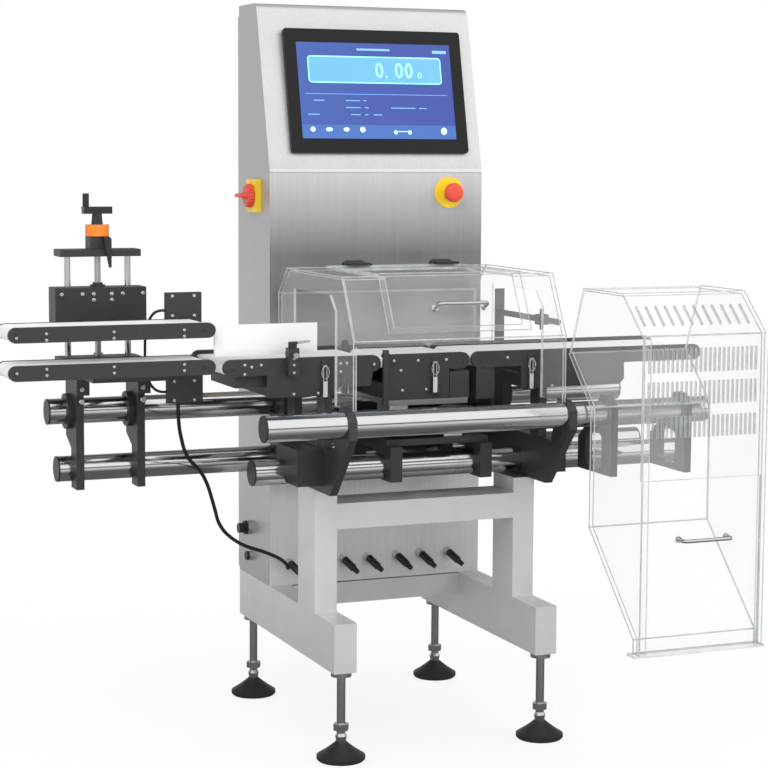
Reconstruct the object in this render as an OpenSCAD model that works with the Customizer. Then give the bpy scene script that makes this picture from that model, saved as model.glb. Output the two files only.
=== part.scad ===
// Checkweigher: a stand with four round rails that carry a twin-belt infeed, a spacing
// conveyor, a weigh conveyor on a load cell and an outfeed conveyor with its reject box.
// The cabinet with the screen stands at the back of the stand.
// Millimetres. The origin lies on the floor, in the middle of the whole machine's outline.
// Products travel along +X, and the operator stands on the -Y side.
// Places are measured from the middle of the stand's base, which at_base() sets.

/* [Stand] */
// Width over the two floor beams
base_w = 450; // [420:5:520]
// Width of each beam and upright
beam_w = 44; // [38:1:50]
// Height of each floor beam
beam_h = 92; // [70:1:110]
// Length of each floor beam
beam_l = 544; // [500:4:640]
// Height of the beams' underside above the floor
beam_z = 166; // [150:1:190]
// Wall of the square tubes
tube_wall = 3; // [2:0.5:4]
// Depth of each upright
upright_d = 90; // [70:2:100]
// Height of each upright above its beam
upright_h = 232; // [200:2:280]
// Distance from the uprights' front back to the cabinet
upright_back = 254; // [240:1:270]
// Height of the upper cross member
cross_h = 48; // [40:1:60]
// Distance from the uprights' top down to the upper cross member
cross_drop = 29; // [15:1:60]
// Height of the lower cross member
low_cross_h = 43; // [35:1:60]

/* [Levelling feet] */
// Diameter of each rubber pad
pad_d = 90; // [80:1:110]
// Height of each rubber pad
pad_h = 34; // [28:1:40]
// Diameter of each levelling stud
stud_d = 16; // [12:1:20]
// Distance from a beam's end to its stud
foot_inset = 22; // [18:1:60]

/* [Cabinet] */
// Depth of the cabinet at its foot
cabinet_d = 187; // [170:1:210]
// Height of the cabinet
cabinet_h = 1139; // [1080:1:1250]
// Height from the cabinet's foot to the bend of its front
bend_h = 815; // [760:1:850]
// How far the top of the sloped panel lies behind the upright front
lean = 74; // [50:1:90]
// Thickness of the cabinet's sheet
sheet_t = 2; // [1.5:0.5:3]
// Width of the screen's bezel
bezel_w = 375; // [340:1:385]
// Height of the screen's bezel
bezel_h = 247; // [220:1:260]
// Width of the glass
glass_w = 326; // [280:1:330]
// Height of the glass
glass_h = 192; // [160:1:195]
// Diameter of the stop button's yellow plate
stop_plate_d = 62; // [58:1:70]
// Travel of the stop button
stop_travel = 4; // [3:0.5:5]

/* [Rails] */
// Diameter of the four round rails
rail_d = 48; // [42:1:52]
// Wall of the rails' tube
rail_wall = 3; // [2:0.5:4]
// Height of the lower rails' axis above the uprights
rail_low = 30; // [28:1:40]
// Height of the upper rails' axis above the lower ones
rail_rise = 108; // [95:1:116]
// Distance from the lower front rail forward to the upper front rail
front_reach = 192; // [170:1:200]
// Distance from the lower front rail back to the rear rails
rear_gap = 173; // [160:1:176]
// Thickness of the side plates that carry the rails
side_plate_t = 15; // [12:1:18]

/* [Conveyors] */
// Height of the conveyors' belts above the floor
belt_top = 734; // [732:1:748]
// Width over the conveyors' side plates
line_w = 200; // [180:2:202]
// Thickness of the conveyors' side plates
plate_t = 8; // [6:1:10]
// How far the side plates stand above the belt
plate_lip = 7; // [4:1:8]
// Thickness of the belts
belt_t = 1.5; // [1:0.5:2]
// Radius of the end rollers
roller_r = 9.5; // [8:0.5:10]
// Length of the spacing conveyor
spacing_l = 302; // [290:1:304]
// Length of the weigh conveyor
weigh_l = 171; // [160:1:173]
// Length of the outfeed conveyor
outfeed_l = 490; // [440:1:500]
// Depth of the deep middle of the side plates
plate_deep = 85; // [75:1:85]

/* [Infeed belts] */
// Length of the twin belts' side plates
infeed_l = 370; // [350:1:380]
// Width over the twin belts' side plates
infeed_w = 100; // [90:1:120]
// Height of the twin belts' side plates
infeed_h = 27; // [25:1:29]
// Clear height between the twin belts
infeed_gap = 39; // [34:1:60]
// Diameter of the lift's guide rods
rod_d = 12; // [10:1:16]
// Distance between the lift's guide rods
rod_span = 114; // [104:1:120]

/* [Guards] */
// Thickness of the clear sheets
clear_t = 5; // [4:0.5:6]
// Height of the weigh guard's top above the belts
guard_rise = 154; // [140:1:180]
// Width of the lid in the weigh guard
lid_w = 282; // [240:2:300]
// Width of the reject box
box_w = 253; // [220:1:270]
// Height of the reject box's floor above the ground
box_z = 221; // [200:1:240]

/* [Hidden] */
$fn = 48;

// Overrun of every cut, clearance of a seat and radial clearance of a turning shaft
cut = 1;
seat = 0.1;
run = 0.05;
// Running gap between a moving piece and its neighbour
gap = 0.3;

// Stand
base_half = base_w / 2;
beam_top = beam_z + beam_h;
beam_y1 = 272;
beam_y0 = beam_y1 - beam_l;
upright_y = beam_y1 - cabinet_d - upright_back;
upright_top = beam_top + upright_h;
inner_half = base_half - beam_w;
low_cross_d = 44;
low_cross_lift = 47;
foot_xs = [-base_half + beam_w / 2, base_half - beam_w / 2];
foot_ys = [beam_y0 + foot_inset, beam_y1 - foot_inset];

// Levelling feet
pad_edge_h = 9;
pad_neck_r = 14;
ball_r = 11;
nut_r = 15;
nut_h = 12;
collar_r = 19;
collar_h = 9;

// Cabinet
cab_y = beam_y1 - cabinet_d;
cab_rear = beam_y1;
cab_z = beam_top;
cab_top = cab_z + cabinet_h;
bend_z = cab_z + bend_h;
top_y = cab_y + lean;
top_r = 20;
slope_a = atan(lean / (cabinet_h - bend_h));
slope_l = sqrt(lean * lean + (cabinet_h - bend_h) * (cabinet_h - bend_h));
lip_t = 3;
lip_out = 2;
frame_lip = 20;
door_gap = 2;
door_d = 16;
door_inset = 4;
hinge_r = 6;
hinge_pin_r = 3.5;
hinge_x = base_half + hinge_r + gap;
hinge_y = cab_rear + door_gap + door_d / 2;
knuckle_h = 22;
hinge_leaf_d = 34;
hinge_low = 160;
hinge_high = 879;
hinge_zs = [cab_z + hinge_low, cab_z + hinge_high];
lock_x = -base_half + 44;
lock_z = cab_z + cabinet_h * 0.45;
lock_r = 11;
lock_reach = 14;
tongue_l = 30;
tongue_w = 14;
tongue_t = 3;

// Screen, placed on the sloped panel
bezel_x = 8;
bezel_low = 34;
bezel_t = 9;
bezel_r = 6;
glass_low = bezel_low + 28;
glass_t = 2;
screen_body_in = 14;
screen_body_d = 38;

// Switches
stop_x = 153;
stop_z = bend_z - 43;
stop_neck_r = 11;
stop_stem_r = 7;
stop_head_r = 19;
stop_head_t = 13;
stop_collar_r = 15;
stop_collar_t = 10;
stop_out = 34;
stop_plate_t = 2;
contact_w = 34;
contact_d = 42;
isolator_y = cab_y + 84;
isolator_z = bend_z - 50;
isolator_w = 64;
isolator_t = 9;
knob_r = 23;
knob_t = 14;
knob_grip_w = 10;
knob_grip_out = 16;
knob_shaft_r = 4;

// Connectors
socket_z = cab_z + 45;
socket_xs = [-185, -71, -19, 44, 96, 156];
socket_r = 9;
socket_out = 12;
plug_r = 7.5;
plug_l = 26;
plug_tilt = 35;
inlet_y = cab_rear - 63;
inlet_z = cab_z + 97;
inlet_r = 14;
small_socket_y = inlet_y - 12;
small_socket_z = cab_z + 42;

// Control gear inside the cabinet
gear_plate_t = 3;
gear_plate_y = cab_y + 52;
gear_margin = 22;
gear_w_share = [0.2, 0.14, 0.14, 0.18];
gear_h = 120;
gear_d = 70;

// Rails: axis places as [y, z] and ends as [x0, x1]
low_z = upright_top + rail_low;
up_z = low_z + rail_rise;
front_low_y = upright_y + upright_d / 2;
front_up_y = front_low_y - front_reach;
rear_y = front_low_y + rear_gap;
rail_at = [[front_up_y, up_z], [front_low_y, low_z], [rear_y, up_z], [rear_y, low_z]];
rail_ends = [[-374, 505], [-331, 575], [-672, 514], [-655, 563]];
rail_r = rail_d / 2;
cap_t = 3;
cap_spigot = 12;

// Conveyor line
line_y0 = -218;
line_y1 = line_y0 + line_w;
line_gap = 4;
weigh_x0 = -107;
weigh_x1 = weigh_x0 + weigh_l;
spacing_x1 = weigh_x0 - 2 * line_gap;
spacing_x0 = spacing_x1 - spacing_l;
outfeed_x0 = weigh_x1 + line_gap;
outfeed_x1 = outfeed_x0 + outfeed_l;
plate_top = belt_top + plate_lip;
nose_h = 30;
nose_r = nose_h / 2;
nose_z = plate_top - nose_r;
belt_r = roller_r + gap + belt_t;
roller_z = belt_top - belt_r;
deep_z = plate_top - plate_deep;
shaft_r = 4;
end_inset = 16;
belt_side = 2;
bed_t = 3;

// Deep parts of the side plates as [x, z] for each conveyor
spacing_drop = [[-335, nose_z], [-335, 670], [-205, 670], [-195, 685], [-135, 685], [-128, nose_z]];
weigh_drop = [[-100, nose_z], [-100, deep_z], [22, deep_z], [22, nose_z]];
outfeed_deep_z = 669;
outfeed_drop = [[171, nose_z], [171, outfeed_deep_z], [380, outfeed_deep_z], [390, outfeed_deep_z + 10],
    [390, nose_z]];
carrier_x1 = 60;
tab_w = 40;

// Side plates and blocks on the rails
side_xs = [-base_half, base_half - side_plate_t];
plate_rim = 9;
plate_foot_y = -245;
block_w = 48;
block_front = 83;
block_rear = 32;
block_up = 50;
block_down = 17;
window_side = 40;

// Weigh support
cross_plate_t = 24;
cross_plate_xs = [-73, 112];
cross_plate_up = 40;
cross_plate_down = 26;
base_plate_t = 12;
cell_x = 10;
cell_l = 150;
cell_w = 60;
cell_h = 38;
cell_step = 8;
cell_slot_r = 11;
carrier_t = 10;

// Twin-belt infeed
infeed_x0 = -801;
infeed_x1 = infeed_x0 + infeed_l;
infeed_y0 = line_y0;
infeed_y1 = infeed_y0 + infeed_w;
infeed_low_z = 729.5;
infeed_up_z = infeed_low_z + infeed_h + infeed_gap;
infeed_belt_r = 13;
infeed_roller_r = infeed_belt_r - belt_t - gap;
infeed_end = 23;
infeed_idler_out = 13;
support_xs = [-631, -515];
support_t = 15;
support_front = 0;
support_depth = 79;
support_low_depth = 40;
support_step_z = up_z - 48;
support_foot_z = low_z - 34;
flange_w = 24;
flange_t = 8;
flange_h = 46;
collar_out = 9;
collar_t = 10;
infeed_bracket_t = 10;

// Lift
lift_x = -578;
lift_y = rear_y - 9;
lift_rod_top = 929;
lift_plate_t = 13;
lift_plate_w = 152;
lift_plate_d = 52;
lift_base_h = 22;
lift_base_z = infeed_low_z - infeed_h / 2 - 8;
carriage_w = 172;
carriage_h = 74;
carriage_z = 785;
carriage_d = 52;
arm_w = 22;
arm_h = 16;
arm_xs = [-44, 22];
screw_r = 6;
screw_nut_r = 14;
screw_nut_h = 8;
screw_nut_neck = 9.5;
thrust_r = 9;
indicator_w = 36;
indicator_h = 24;
indicator_d = 36;
ring_r = 22;
ring_h = 21;
neck_r = 9;
neck_h = 20;
arm_l = 54;
arm_t = 13;
arm_d = 18;
knob_h = 24;
crank_knob_r = 6;
lock_hub_r = 7;
lock_hub_l = 14;
lock_arm_l = 48;
lock_side = 12;
lock_stud_r = 3;

// Motors
lower_motor_x = -492;
upper_motor_x = -494;
motor_w = 68;
motor_h = 58;
motor_face_t = 8;
motor_body_in = 13;
motor_body_d = 44;
spacing_box_x = -390;
spacing_box_z0 = 688;
spacing_box_z1 = 710;
outfeed_box_x = 79;
outfeed_box_w = 37;
outfeed_box_z0 = 652;
outfeed_box_z1 = 711;

// Weigh guard outline, as [y, z]
guard_half = base_half - side_plate_t;
guard_top = belt_top + guard_rise;
guard_front_y = front_up_y - 7;
guard_rear_y = rear_y + rail_r + 2;
guard_top_y0 = -265;
guard_top_y1 = 27;
guard_knee_z = guard_top - 111;
guard_back_knee = guard_top - 50;
guard_foot_z = up_z + rail_r + gap;
opening_y0 = line_y0 - 12;
opening_y1 = line_y1 + 8;
opening_top = guard_top - 36;
opening_chamfer = 28;
guard_back_z = up_z + rail_r + gap;
lid_lap = 14;
lid_edge_y = -5;
lid_hinge_r = 4;
lid_pin_r = 2;
lid_hinge_xs = [-77, 106];
lid_hinge_w = 46;
lid_hinge_leaf = 22;
lid_leaf_t = 3;
lid_foot = 4;

// Bow handles
bow_l = 98;
bow_out = 26;
bow_r = 3.5;
bow_foot_r = 6;
bow_bend = 8;

// Reject box outline, as [y, z]
box_x0 = 251;
box_x1 = box_x0 + box_w;
box_front = -535;
door_y0 = box_front - gap - clear_t;
box_foot_y = -522;
box_foot_z = 246;
box_back = front_up_y - rail_r - 8;
box_top = 862;
box_slope_y = -459;
box_slope_z = 792;
box_rear_top_y = -309;
box_neck_y = -257;
box_neck_z = 735;
box_back_z = 643;
box_back_low = 420;
box_door_top = 533;
slot_w = 3;
slot_n = 24;
slot_tops = [768, 709, 647];
slot_hs = [43, 42, 39];
slope_slot_n = 12;
slope_slot_l = 46;
slope_slot_lean = 9;
slot_margin = 15;
channel_t = 4;
channel_w = 14;

// Latches
latch_xs = [-226, -9, 189];
latch_w = 12;
latch_top = 735;
latch_pivot_z = 669;
latch_lever_l = 28;
latch_hook_z = 724;
latch_base_t = 3;
latch_pin_r = 1.5;
latch_ear_r = 4;
loop_r = 1;

// Side guide
guide_x0 = -427;
guide_x1 = -232;
guide_y = -192;
guide_t = 6;
guide_z0 = 746;
guide_h = 56;
guide_rod_r = 5;
guide_rod_out = 12;
guide_block_x = -300;
guide_block_w = 20;
guide_block_t = 18;
guide_block_top = 760;
guide_rod_drop = 12;
lever_l = 30;
lever_hub_r = 8;
lever_hub_h = 11;
lever_stud_r = 4;

// Sensor posts and the air nozzle bar
post_x = -112;
post_w = 10;
post_t = 8;
post_z0 = 648;
post_z1 = 750;
nozzle_x = base_half + 21;
nozzle_w = 20;
nozzle_y = -200;
nozzle_z = 790;
nozzle_rod_r = 6;
nozzle_plate_t = 4;
nozzle_plate_h = 95;
nozzle_r = 4;

// Cables: points chosen by hand along each route, from the base's middle
cable_d = 7;
cable_thin_d = 5;
infeed_route = [[-461, -84, 661.7], [-461, -84, 640], [-459, -80, 620], [-455, -73, 600], [-449, -66, 580],
    [-442, -60, 560], [-430, -54, 540], [-412, -46, 522], [-398, -38, 504], [-386, -28, 482], [-376, -18,
        458],
    [-367, -10, 434], [-358, -2, 410], [-342, 8, 388], [-318, 20, 368], [-290, 32, 352], [-262, 40, 341],
    [-236, 46, 330], [-214, 52, 318], [-200, 58, 306], [-194, 64, 296]];
lift_route = [[-494.3, -114, 824], [-503, -114, 824], [-513, -112, 820], [-520, -108, 810], [-524, -103, 796],
    [-526, -98, 776], [-526, -95, 756], [-526, -95, 736], [-526, -98, 716], [-524, -103, 702],
    [-519.5, -108, 690], [-512, -112, 681], [-503, -114, 677], [-492.2, -114, 676]];

// Overall reach, which puts the origin in the middle of the outline
left_reach = -infeed_x0;
right_reach = rail_ends[1][1] + cap_t;
front_most = -door_y0 + bow_out;
rear_most = cab_rear + door_gap + door_d + lock_reach;
base_x = (left_reach - right_reach) / 2;
base_y = (front_most - rear_most) / 2;

// Colours
steel = [0.72, 0.73, 0.74];
bright = [0.85, 0.86, 0.88];
black = [0.12, 0.12, 0.13];
rubber_black = [0.08, 0.08, 0.08];
clear = [0.85, 0.9, 0.92, 0.35];

module at_base() {
    translate([base_x, base_y, 0]) children();
}

// A plate that lies in the Y-Z plane, from x to x + t, with its outline as [y, z]
module plate_yz(x, t, outline) {
    translate([x, 0, 0]) rotate([90, 0, 90]) linear_extrude(t) polygon(outline);
}

// A plate that lies in the X-Z plane, from y to y + t, with its outline as [x, z]
module plate_xz(y, t, outline) {
    translate([0, y + t, 0]) rotate([90, 0, 0]) linear_extrude(t) polygon(outline);
}

module rod_x(x, y, z, r, l) {
    translate([x, y, z]) rotate([0, 90, 0]) cylinder(r = r, h = l);
}

module rod_y(x, y, z, r, l) {
    translate([x, y, z]) rotate([-90, 0, 0]) cylinder(r = r, h = l);
}

module rod_z(x, y, z, r, l) {
    translate([x, y, z]) cylinder(r = r, h = l);
}

module box(x0, x1, y0, y1, z0, z1) {
    translate([x0, y0, z0]) cube([x1 - x0, y1 - y0, z1 - z0]);
}

// Frame that lies on the sloped panel: x across, z up the slope, -y out of the panel
module on_slope() {
    translate([0, cab_y, bend_z]) rotate([-slope_a, 0, 0]) children();
}

// Square tube stand: floor beams, uprights and two cross members
module floor_beam(x) {
    difference() {
        box(x, x + beam_w, beam_y0, beam_y1, beam_z, beam_top);
        box(x + tube_wall, x + beam_w - tube_wall, beam_y0 + tube_wall, beam_y1 - tube_wall,
            beam_z + tube_wall, beam_top - tube_wall);
        for (y = foot_ys) rod_z(x + beam_w / 2, y, beam_z - cut, stud_d / 2 + seat, tube_wall + 2 * cut);
    }
}

module upright(x) {
    difference() {
        box(x, x + beam_w, upright_y, upright_y + upright_d, beam_top, upright_top);
        box(x + tube_wall, x + beam_w - tube_wall, upright_y + tube_wall, upright_y + upright_d - tube_wall,
            beam_top - cut, upright_top + cut);
    }
}

module cross_member(y0, y1, z0, z1) {
    difference() {
        box(-inner_half, inner_half, y0, y1, z0, z1);
        box(-inner_half - cut, inner_half + cut, y0 + tube_wall, y1 - tube_wall, z0 + tube_wall,
            z1 - tube_wall);
    }
}

module base_frame() {
    at_base() color(steel) {
        for (x = [-base_half, inner_half]) {
            floor_beam(x);
            upright(x);
        }
        cross_member(upright_y, upright_y + upright_d, upright_top - cross_drop - cross_h,
            upright_top - cross_drop);
        cross_member(cab_y, cab_y + low_cross_d, beam_z + low_cross_lift,
            beam_z + low_cross_lift + low_cross_h);
    }
}

// Levelling feet: threaded stud with its ball, lock nut and flanged bush
module foot_stud() {
    translate([0, 0, pad_h]) cylinder(r = stud_d / 2, h = beam_z + tube_wall - pad_h);
    translate([0, 0, pad_h]) cylinder(r1 = ball_r * 0.8, r2 = ball_r, h = ball_r);
    translate([0, 0, pad_h + ball_r]) cylinder(r1 = ball_r, r2 = stud_d / 2, h = ball_r / 2);
    translate([0, 0, pad_h + 2 * ball_r]) cylinder(r = nut_r, h = nut_h, $fn = 6);
    translate([0, 0, beam_z - collar_h]) cylinder(r = collar_r, h = collar_h);
}

module foot_studs() {
    at_base() color(bright) for (x = foot_xs, y = foot_ys) translate([x, y, 0]) foot_stud();
}

module foot_pads() {
    at_base() color(rubber_black) for (x = foot_xs, y = foot_ys) translate([x, y, 0]) rotate_extrude()
        polygon([[0, 0], [pad_d / 2 - cap_t, 0], [pad_d / 2, cap_t], [pad_d / 2, pad_edge_h],
            [pad_d / 3, pad_h * 0.55], [pad_neck_r, pad_h - cap_t], [pad_neck_r - cap_t, pad_h], [0, pad_h]]);
}

// Cabinet: folded stainless sheet, open at the back, with its hinge lugs
function cab_outline(t) = let (r = top_r - t, cy = top_y + top_r + lip_t, cz = cab_top - top_r) concat(
    [[cab_rear - t, cab_z + t], [cab_y + t, cab_z + t], [cab_y + t, bend_z - t * tan(slope_a / 2)]],
    [for (i = [0 : 6]) let (a = 180 - slope_a - i * (90 - slope_a) / 6) [cy + r * cos(a), cz + r * sin(a)]],
    [[cab_rear - t, cab_top - t]]);

module hinge_lug(z) {
    difference() {
        union() {
            rod_z(hinge_x, hinge_y, z, hinge_r, knuckle_h);
            box(base_half, hinge_x, cab_rear - hinge_leaf_d, hinge_y, z, z + knuckle_h);
        }
    }
}

module cabinet_shell() {
    at_base() color(steel) {
        difference() {
            union() {
                plate_yz(-base_half, base_w, cab_outline(0));
                box(-base_half, base_half, cab_y - lip_out, cab_y + sheet_t, bend_z - lip_t, bend_z);
            }
            plate_yz(-base_half + sheet_t, base_w - 2 * sheet_t, cab_outline(sheet_t));
            box(-base_half + frame_lip, base_half - frame_lip, cab_rear - sheet_t - cut, cab_rear + cut,
                cab_z + frame_lip, cab_top - frame_lip - top_r);
            on_slope() box(bezel_x - glass_w / 2 - seat, bezel_x + glass_w / 2 + seat, -top_r, top_r,
                glass_low - seat, glass_low + glass_h + seat);
            rod_y(stop_x, cab_y - lip_out - cut, stop_z, stop_neck_r + seat, lip_out + sheet_t + 2 * cut);
            for (x = socket_xs) rod_y(x, cab_y - cut, socket_z, socket_r * 0.7 + seat, sheet_t + 2 * cut);
            rod_x(-base_half - cut, isolator_y, isolator_z, knob_shaft_r * 2 + seat, sheet_t + 2 * cut);
            rod_x(-base_half - cut, inlet_y, inlet_z, inlet_r * 0.7 + seat, sheet_t + 2 * cut);
            rod_x(-base_half - cut, small_socket_y, small_socket_z, socket_r * 0.7 + seat, sheet_t + 2 * cut);
        }
        for (z = hinge_zs) {
            hinge_lug(z);
            hinge_lug(z + 2 * knuckle_h);
            rod_z(hinge_x, hinge_y, z, hinge_pin_r, 3 * knuckle_h);
        }
    }
}

// Rear door: a folded tray with the middle knuckles of both hinges
module cabinet_door() {
    y0 = cab_rear + door_gap;
    at_base() color(steel) difference() {
        union() {
            difference() {
                box(-base_half + door_inset, base_half - door_inset, y0, y0 + door_d, cab_z + door_inset,
                    cab_top - top_r);
                box(-base_half + door_inset + sheet_t, base_half - door_inset - sheet_t, y0 - cut,
                    y0 + door_d - sheet_t, cab_z + door_inset + sheet_t, cab_top - top_r - sheet_t);
            }
            for (z = hinge_zs) {
                rod_z(hinge_x, hinge_y, z + knuckle_h + gap, hinge_r, knuckle_h - 2 * gap);
                box(base_half - door_inset - sheet_t, hinge_x, hinge_y - hinge_r / 2, hinge_y + hinge_r / 2,
                    z + knuckle_h + gap, z + 2 * knuckle_h - gap);
            }
        }
        for (z = hinge_zs) rod_z(hinge_x, hinge_y, z, hinge_pin_r + run, 3 * knuckle_h);
        rod_y(lock_x, y0 - cut, lock_z, lock_r * 0.6 + run, door_d + 2 * cut);
    }
}

// Quarter-turn lock with its T-handle outside and its tongue inside
module door_lock() {
    y1 = cab_rear + door_gap + door_d;
    y_in = cab_rear - sheet_t - gap - tongue_t;
    at_base() color(bright) {
        rod_y(lock_x, y1 + gap, lock_z, lock_r, lock_reach / 2);
        rod_y(lock_x, y_in, lock_z, lock_r * 0.6, y1 - y_in + lock_reach / 2);
        box(lock_x - tongue_t, lock_x + tongue_t, y1 + lock_reach / 2, y1 + lock_reach, lock_z - lock_r,
            lock_z + lock_r);
        box(lock_x - tongue_w / 2, lock_x + tongue_w / 2, y_in, y_in + tongue_t, lock_z - tongue_w / 2,
            lock_z + tongue_l);
    }
}

// Mounting plate with the power supply, controller and motor drives
module control_gear() {
    w = base_w - 2 * gear_margin;
    z0 = cab_z + sheet_t;
    z1 = bend_z - gear_margin;
    at_base() color("lightgrey") {
        box(-w / 2, w / 2, gear_plate_y, gear_plate_y + gear_plate_t, z0, z1);
        for (row = [0, 1], i = [0 : 3]) {
            x = -w / 2 + gear_margin + i * (w - gear_margin) / 4;
            z = z0 + gear_h + row * (gear_h + gear_h / 2);
            box(x, x + w * gear_w_share[i], gear_plate_y + gear_plate_t,
                gear_plate_y + gear_plate_t + gear_d * (row == 0 ? 1 : 0.7), z, z + gear_h);
        }
    }
}

// Operator screen: bezel frame with its body through the panel, and the glass in it
module screen_bezel() {
    at_base() color(black) on_slope() difference() {
        union() {
            hull() for (x = [-1, 1], z = [0, 1]) rod_y(bezel_x + x * (bezel_w / 2 - bezel_r), -bezel_t,
                bezel_low + bezel_r + z * (bezel_h - 2 * bezel_r), bezel_r, bezel_t);
            box(bezel_x - glass_w / 2 + screen_body_in, bezel_x + glass_w / 2 - screen_body_in, -cut,
                screen_body_d, glass_low + screen_body_in, glass_low + glass_h - screen_body_in);
        }
        box(bezel_x - glass_w / 2 - seat, bezel_x + glass_w / 2 + seat, -bezel_t - cut, -bezel_t + glass_t,
            glass_low - seat, glass_low + glass_h + seat);
    }
}

module screen_glass() {
    at_base() color([0.15, 0.3, 0.8]) on_slope() box(bezel_x - glass_w / 2, bezel_x + glass_w / 2,
        -bezel_t, -bezel_t + glass_t, glass_low, glass_low + glass_h);
}

// Yellow plates behind the stop button and the isolator, with the stop button's neck
module switch_plates() {
    at_base() color("gold") {
        difference() {
            union() {
                rod_y(stop_x, cab_y - stop_plate_t, stop_z, stop_plate_d / 2, stop_plate_t);
                rod_y(stop_x, cab_y - stop_plate_t - stop_collar_t, stop_z, stop_collar_r, stop_collar_t);
                rod_y(stop_x, cab_y - cut, stop_z, stop_neck_r, contact_d + cut);
                box(stop_x - contact_w / 2, stop_x + contact_w / 2, cab_y + sheet_t, cab_y + contact_d,
                    stop_z - contact_w / 2, stop_z + contact_w / 2);
            }
            rod_y(stop_x, cab_y - stop_collar_t - stop_plate_t - cut, stop_z, stop_stem_r + run,
                stop_collar_t + contact_d - sheet_t);
        }
        difference() {
            box(-base_half - isolator_t, -base_half, isolator_y - isolator_w / 2, isolator_y + isolator_w / 2,
                isolator_z - isolator_w / 2, isolator_z + isolator_w / 2);
            rod_x(-base_half - isolator_t - cut, isolator_y, isolator_z, knob_shaft_r + run,
                isolator_t + 2 * cut);
        }
    }
}

module stop_button() {
    y_head = cab_y - stop_out;
    at_base() color("red") {
        translate([stop_x, y_head, stop_z]) rotate([-90, 0, 0]) rotate_extrude()
            polygon([[0, 0], [stop_head_r * 0.6, 0], [stop_head_r * 0.9, lip_t], [stop_head_r, lip_t * 2],
                [stop_head_r, stop_head_t], [stop_stem_r + cap_t, stop_head_t + lip_t], [0,
                    stop_head_t + lip_t]]);
        rod_y(stop_x, y_head + stop_head_t, stop_z, stop_stem_r, stop_out - stop_head_t + contact_d / 2);
    }
}

module isolator_knob() {
    x1 = -base_half - isolator_t - gap;
    at_base() color("red") {
        rod_x(x1 - knob_t, isolator_y, isolator_z, knob_r, knob_t);
        box(x1 - knob_t - knob_grip_out, x1 - knob_t, isolator_y - knob_grip_w / 2,
            isolator_y + knob_grip_w / 2,
            isolator_z - knob_r, isolator_z + knob_r);
        rod_x(x1, isolator_y, isolator_z, knob_shaft_r, isolator_t + gap + contact_d);
    }
}

// Round sockets along the cabinet's foot with their plugs, and the side inlet
module socket_y(x) {
    rod_y(x, cab_y - socket_out / 3, socket_z, socket_r, socket_out / 3);
    rod_y(x, cab_y - socket_out, socket_z, socket_r * 0.8, socket_out);
    rod_y(x, cab_y - cut, socket_z, socket_r * 0.7, socket_out);
    translate([x, cab_y - socket_out + cut, socket_z]) rotate([90 + plug_tilt, 0, plug_tilt]) {
        cylinder(r = plug_r, h = plug_l);
        translate([0, 0, plug_l]) cylinder(r1 = plug_r * 0.8, r2 = cable_d / 2 + cut, h = plug_l / 2);
    }
}

module cable_connectors() {
    at_base() color(black) {
        for (x = socket_xs) socket_y(x);
        rod_x(-base_half - socket_out, inlet_y, inlet_z, inlet_r, socket_out);
        rod_x(-base_half - socket_out * 2, inlet_y, inlet_z, inlet_r * 0.7, socket_out * 3);
        rod_x(-base_half - socket_out, small_socket_y, small_socket_z, socket_r, socket_out);
        rod_x(-base_half - socket_out, small_socket_y, small_socket_z, socket_r * 0.7, socket_out * 2);
    }
}

// The four round rails and their end caps
module rails() {
    at_base() color(bright) for (i = [0 : 3]) difference() {
        rod_x(rail_ends[i][0], rail_at[i][0], rail_at[i][1], rail_r, rail_ends[i][1] - rail_ends[i][0]);
        rod_x(rail_ends[i][0] - cut, rail_at[i][0], rail_at[i][1], rail_r - rail_wall,
            rail_ends[i][1] - rail_ends[i][0] + 2 * cut);
    }
}

module rail_end_caps() {
    at_base() color(black) for (i = [0 : 3], s = [0, 1]) {
        x = rail_ends[i][s];
        rod_x(s == 0 ? x - cap_t : x, rail_at[i][0], rail_at[i][1], rail_r, cap_t);
        rod_x(s == 0 ? x - cut : x - cap_spigot, rail_at[i][0], rail_at[i][1], rail_r - rail_wall - seat,
            cap_spigot + cut);
    }
}

module rail_bores(x, t, which) {
    for (i = which) rod_x(x - cut, rail_at[i][0], rail_at[i][1], rail_r + seat, t + 2 * cut);
}

// Side plates on the uprights that hold all four rails, with their clamp blocks
side_outline = [[plate_foot_y, upright_top], [rear_y + rail_r + plate_rim, upright_top],
    [rear_y + rail_r + plate_rim, deep_z], [rear_y - rail_r * 2, deep_z], [rear_y - rail_r * 2,
        (low_z + up_z) / 2],
    [front_up_y + rail_r * 2, (low_z + up_z) / 2],
    [front_up_y + rail_r, up_z + rail_r + plate_rim - cap_t], [front_up_y - rail_r + plate_rim,
        up_z + rail_r],
    [front_up_y - rail_r - plate_rim / 2, up_z + plate_rim], [front_up_y - rail_r - plate_rim / 2,
        up_z - rail_r]];

module side_plates() {
    at_base() color(black) {
        for (x = side_xs) difference() {
            plate_yz(x, side_plate_t, side_outline);
            rail_bores(x, side_plate_t, [0 : 3]);
            box(x - cut, x + side_plate_t + cut, rear_y - window_side, rear_y - window_side * 0.3,
                (low_z + up_z) / 2 - window_side * 0.4, (low_z + up_z) / 2 + window_side * 0.4);
        }
        for (x = side_xs, y = [line_y0, line_y1 - tab_w]) box(x, x + side_plate_t, y, y + tab_w,
            (low_z + up_z) / 2, x < 0 ? spacing_drop[1][1] : outfeed_deep_z);
        for (x = [-base_half - block_w, base_half]) difference() {
            box(x, x + block_w, front_low_y - block_front, front_low_y + block_rear, low_z - block_down,
                low_z + block_up);
            rail_bores(x, block_w, [1]);
        }
        weigh_support();
    }
}

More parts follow.
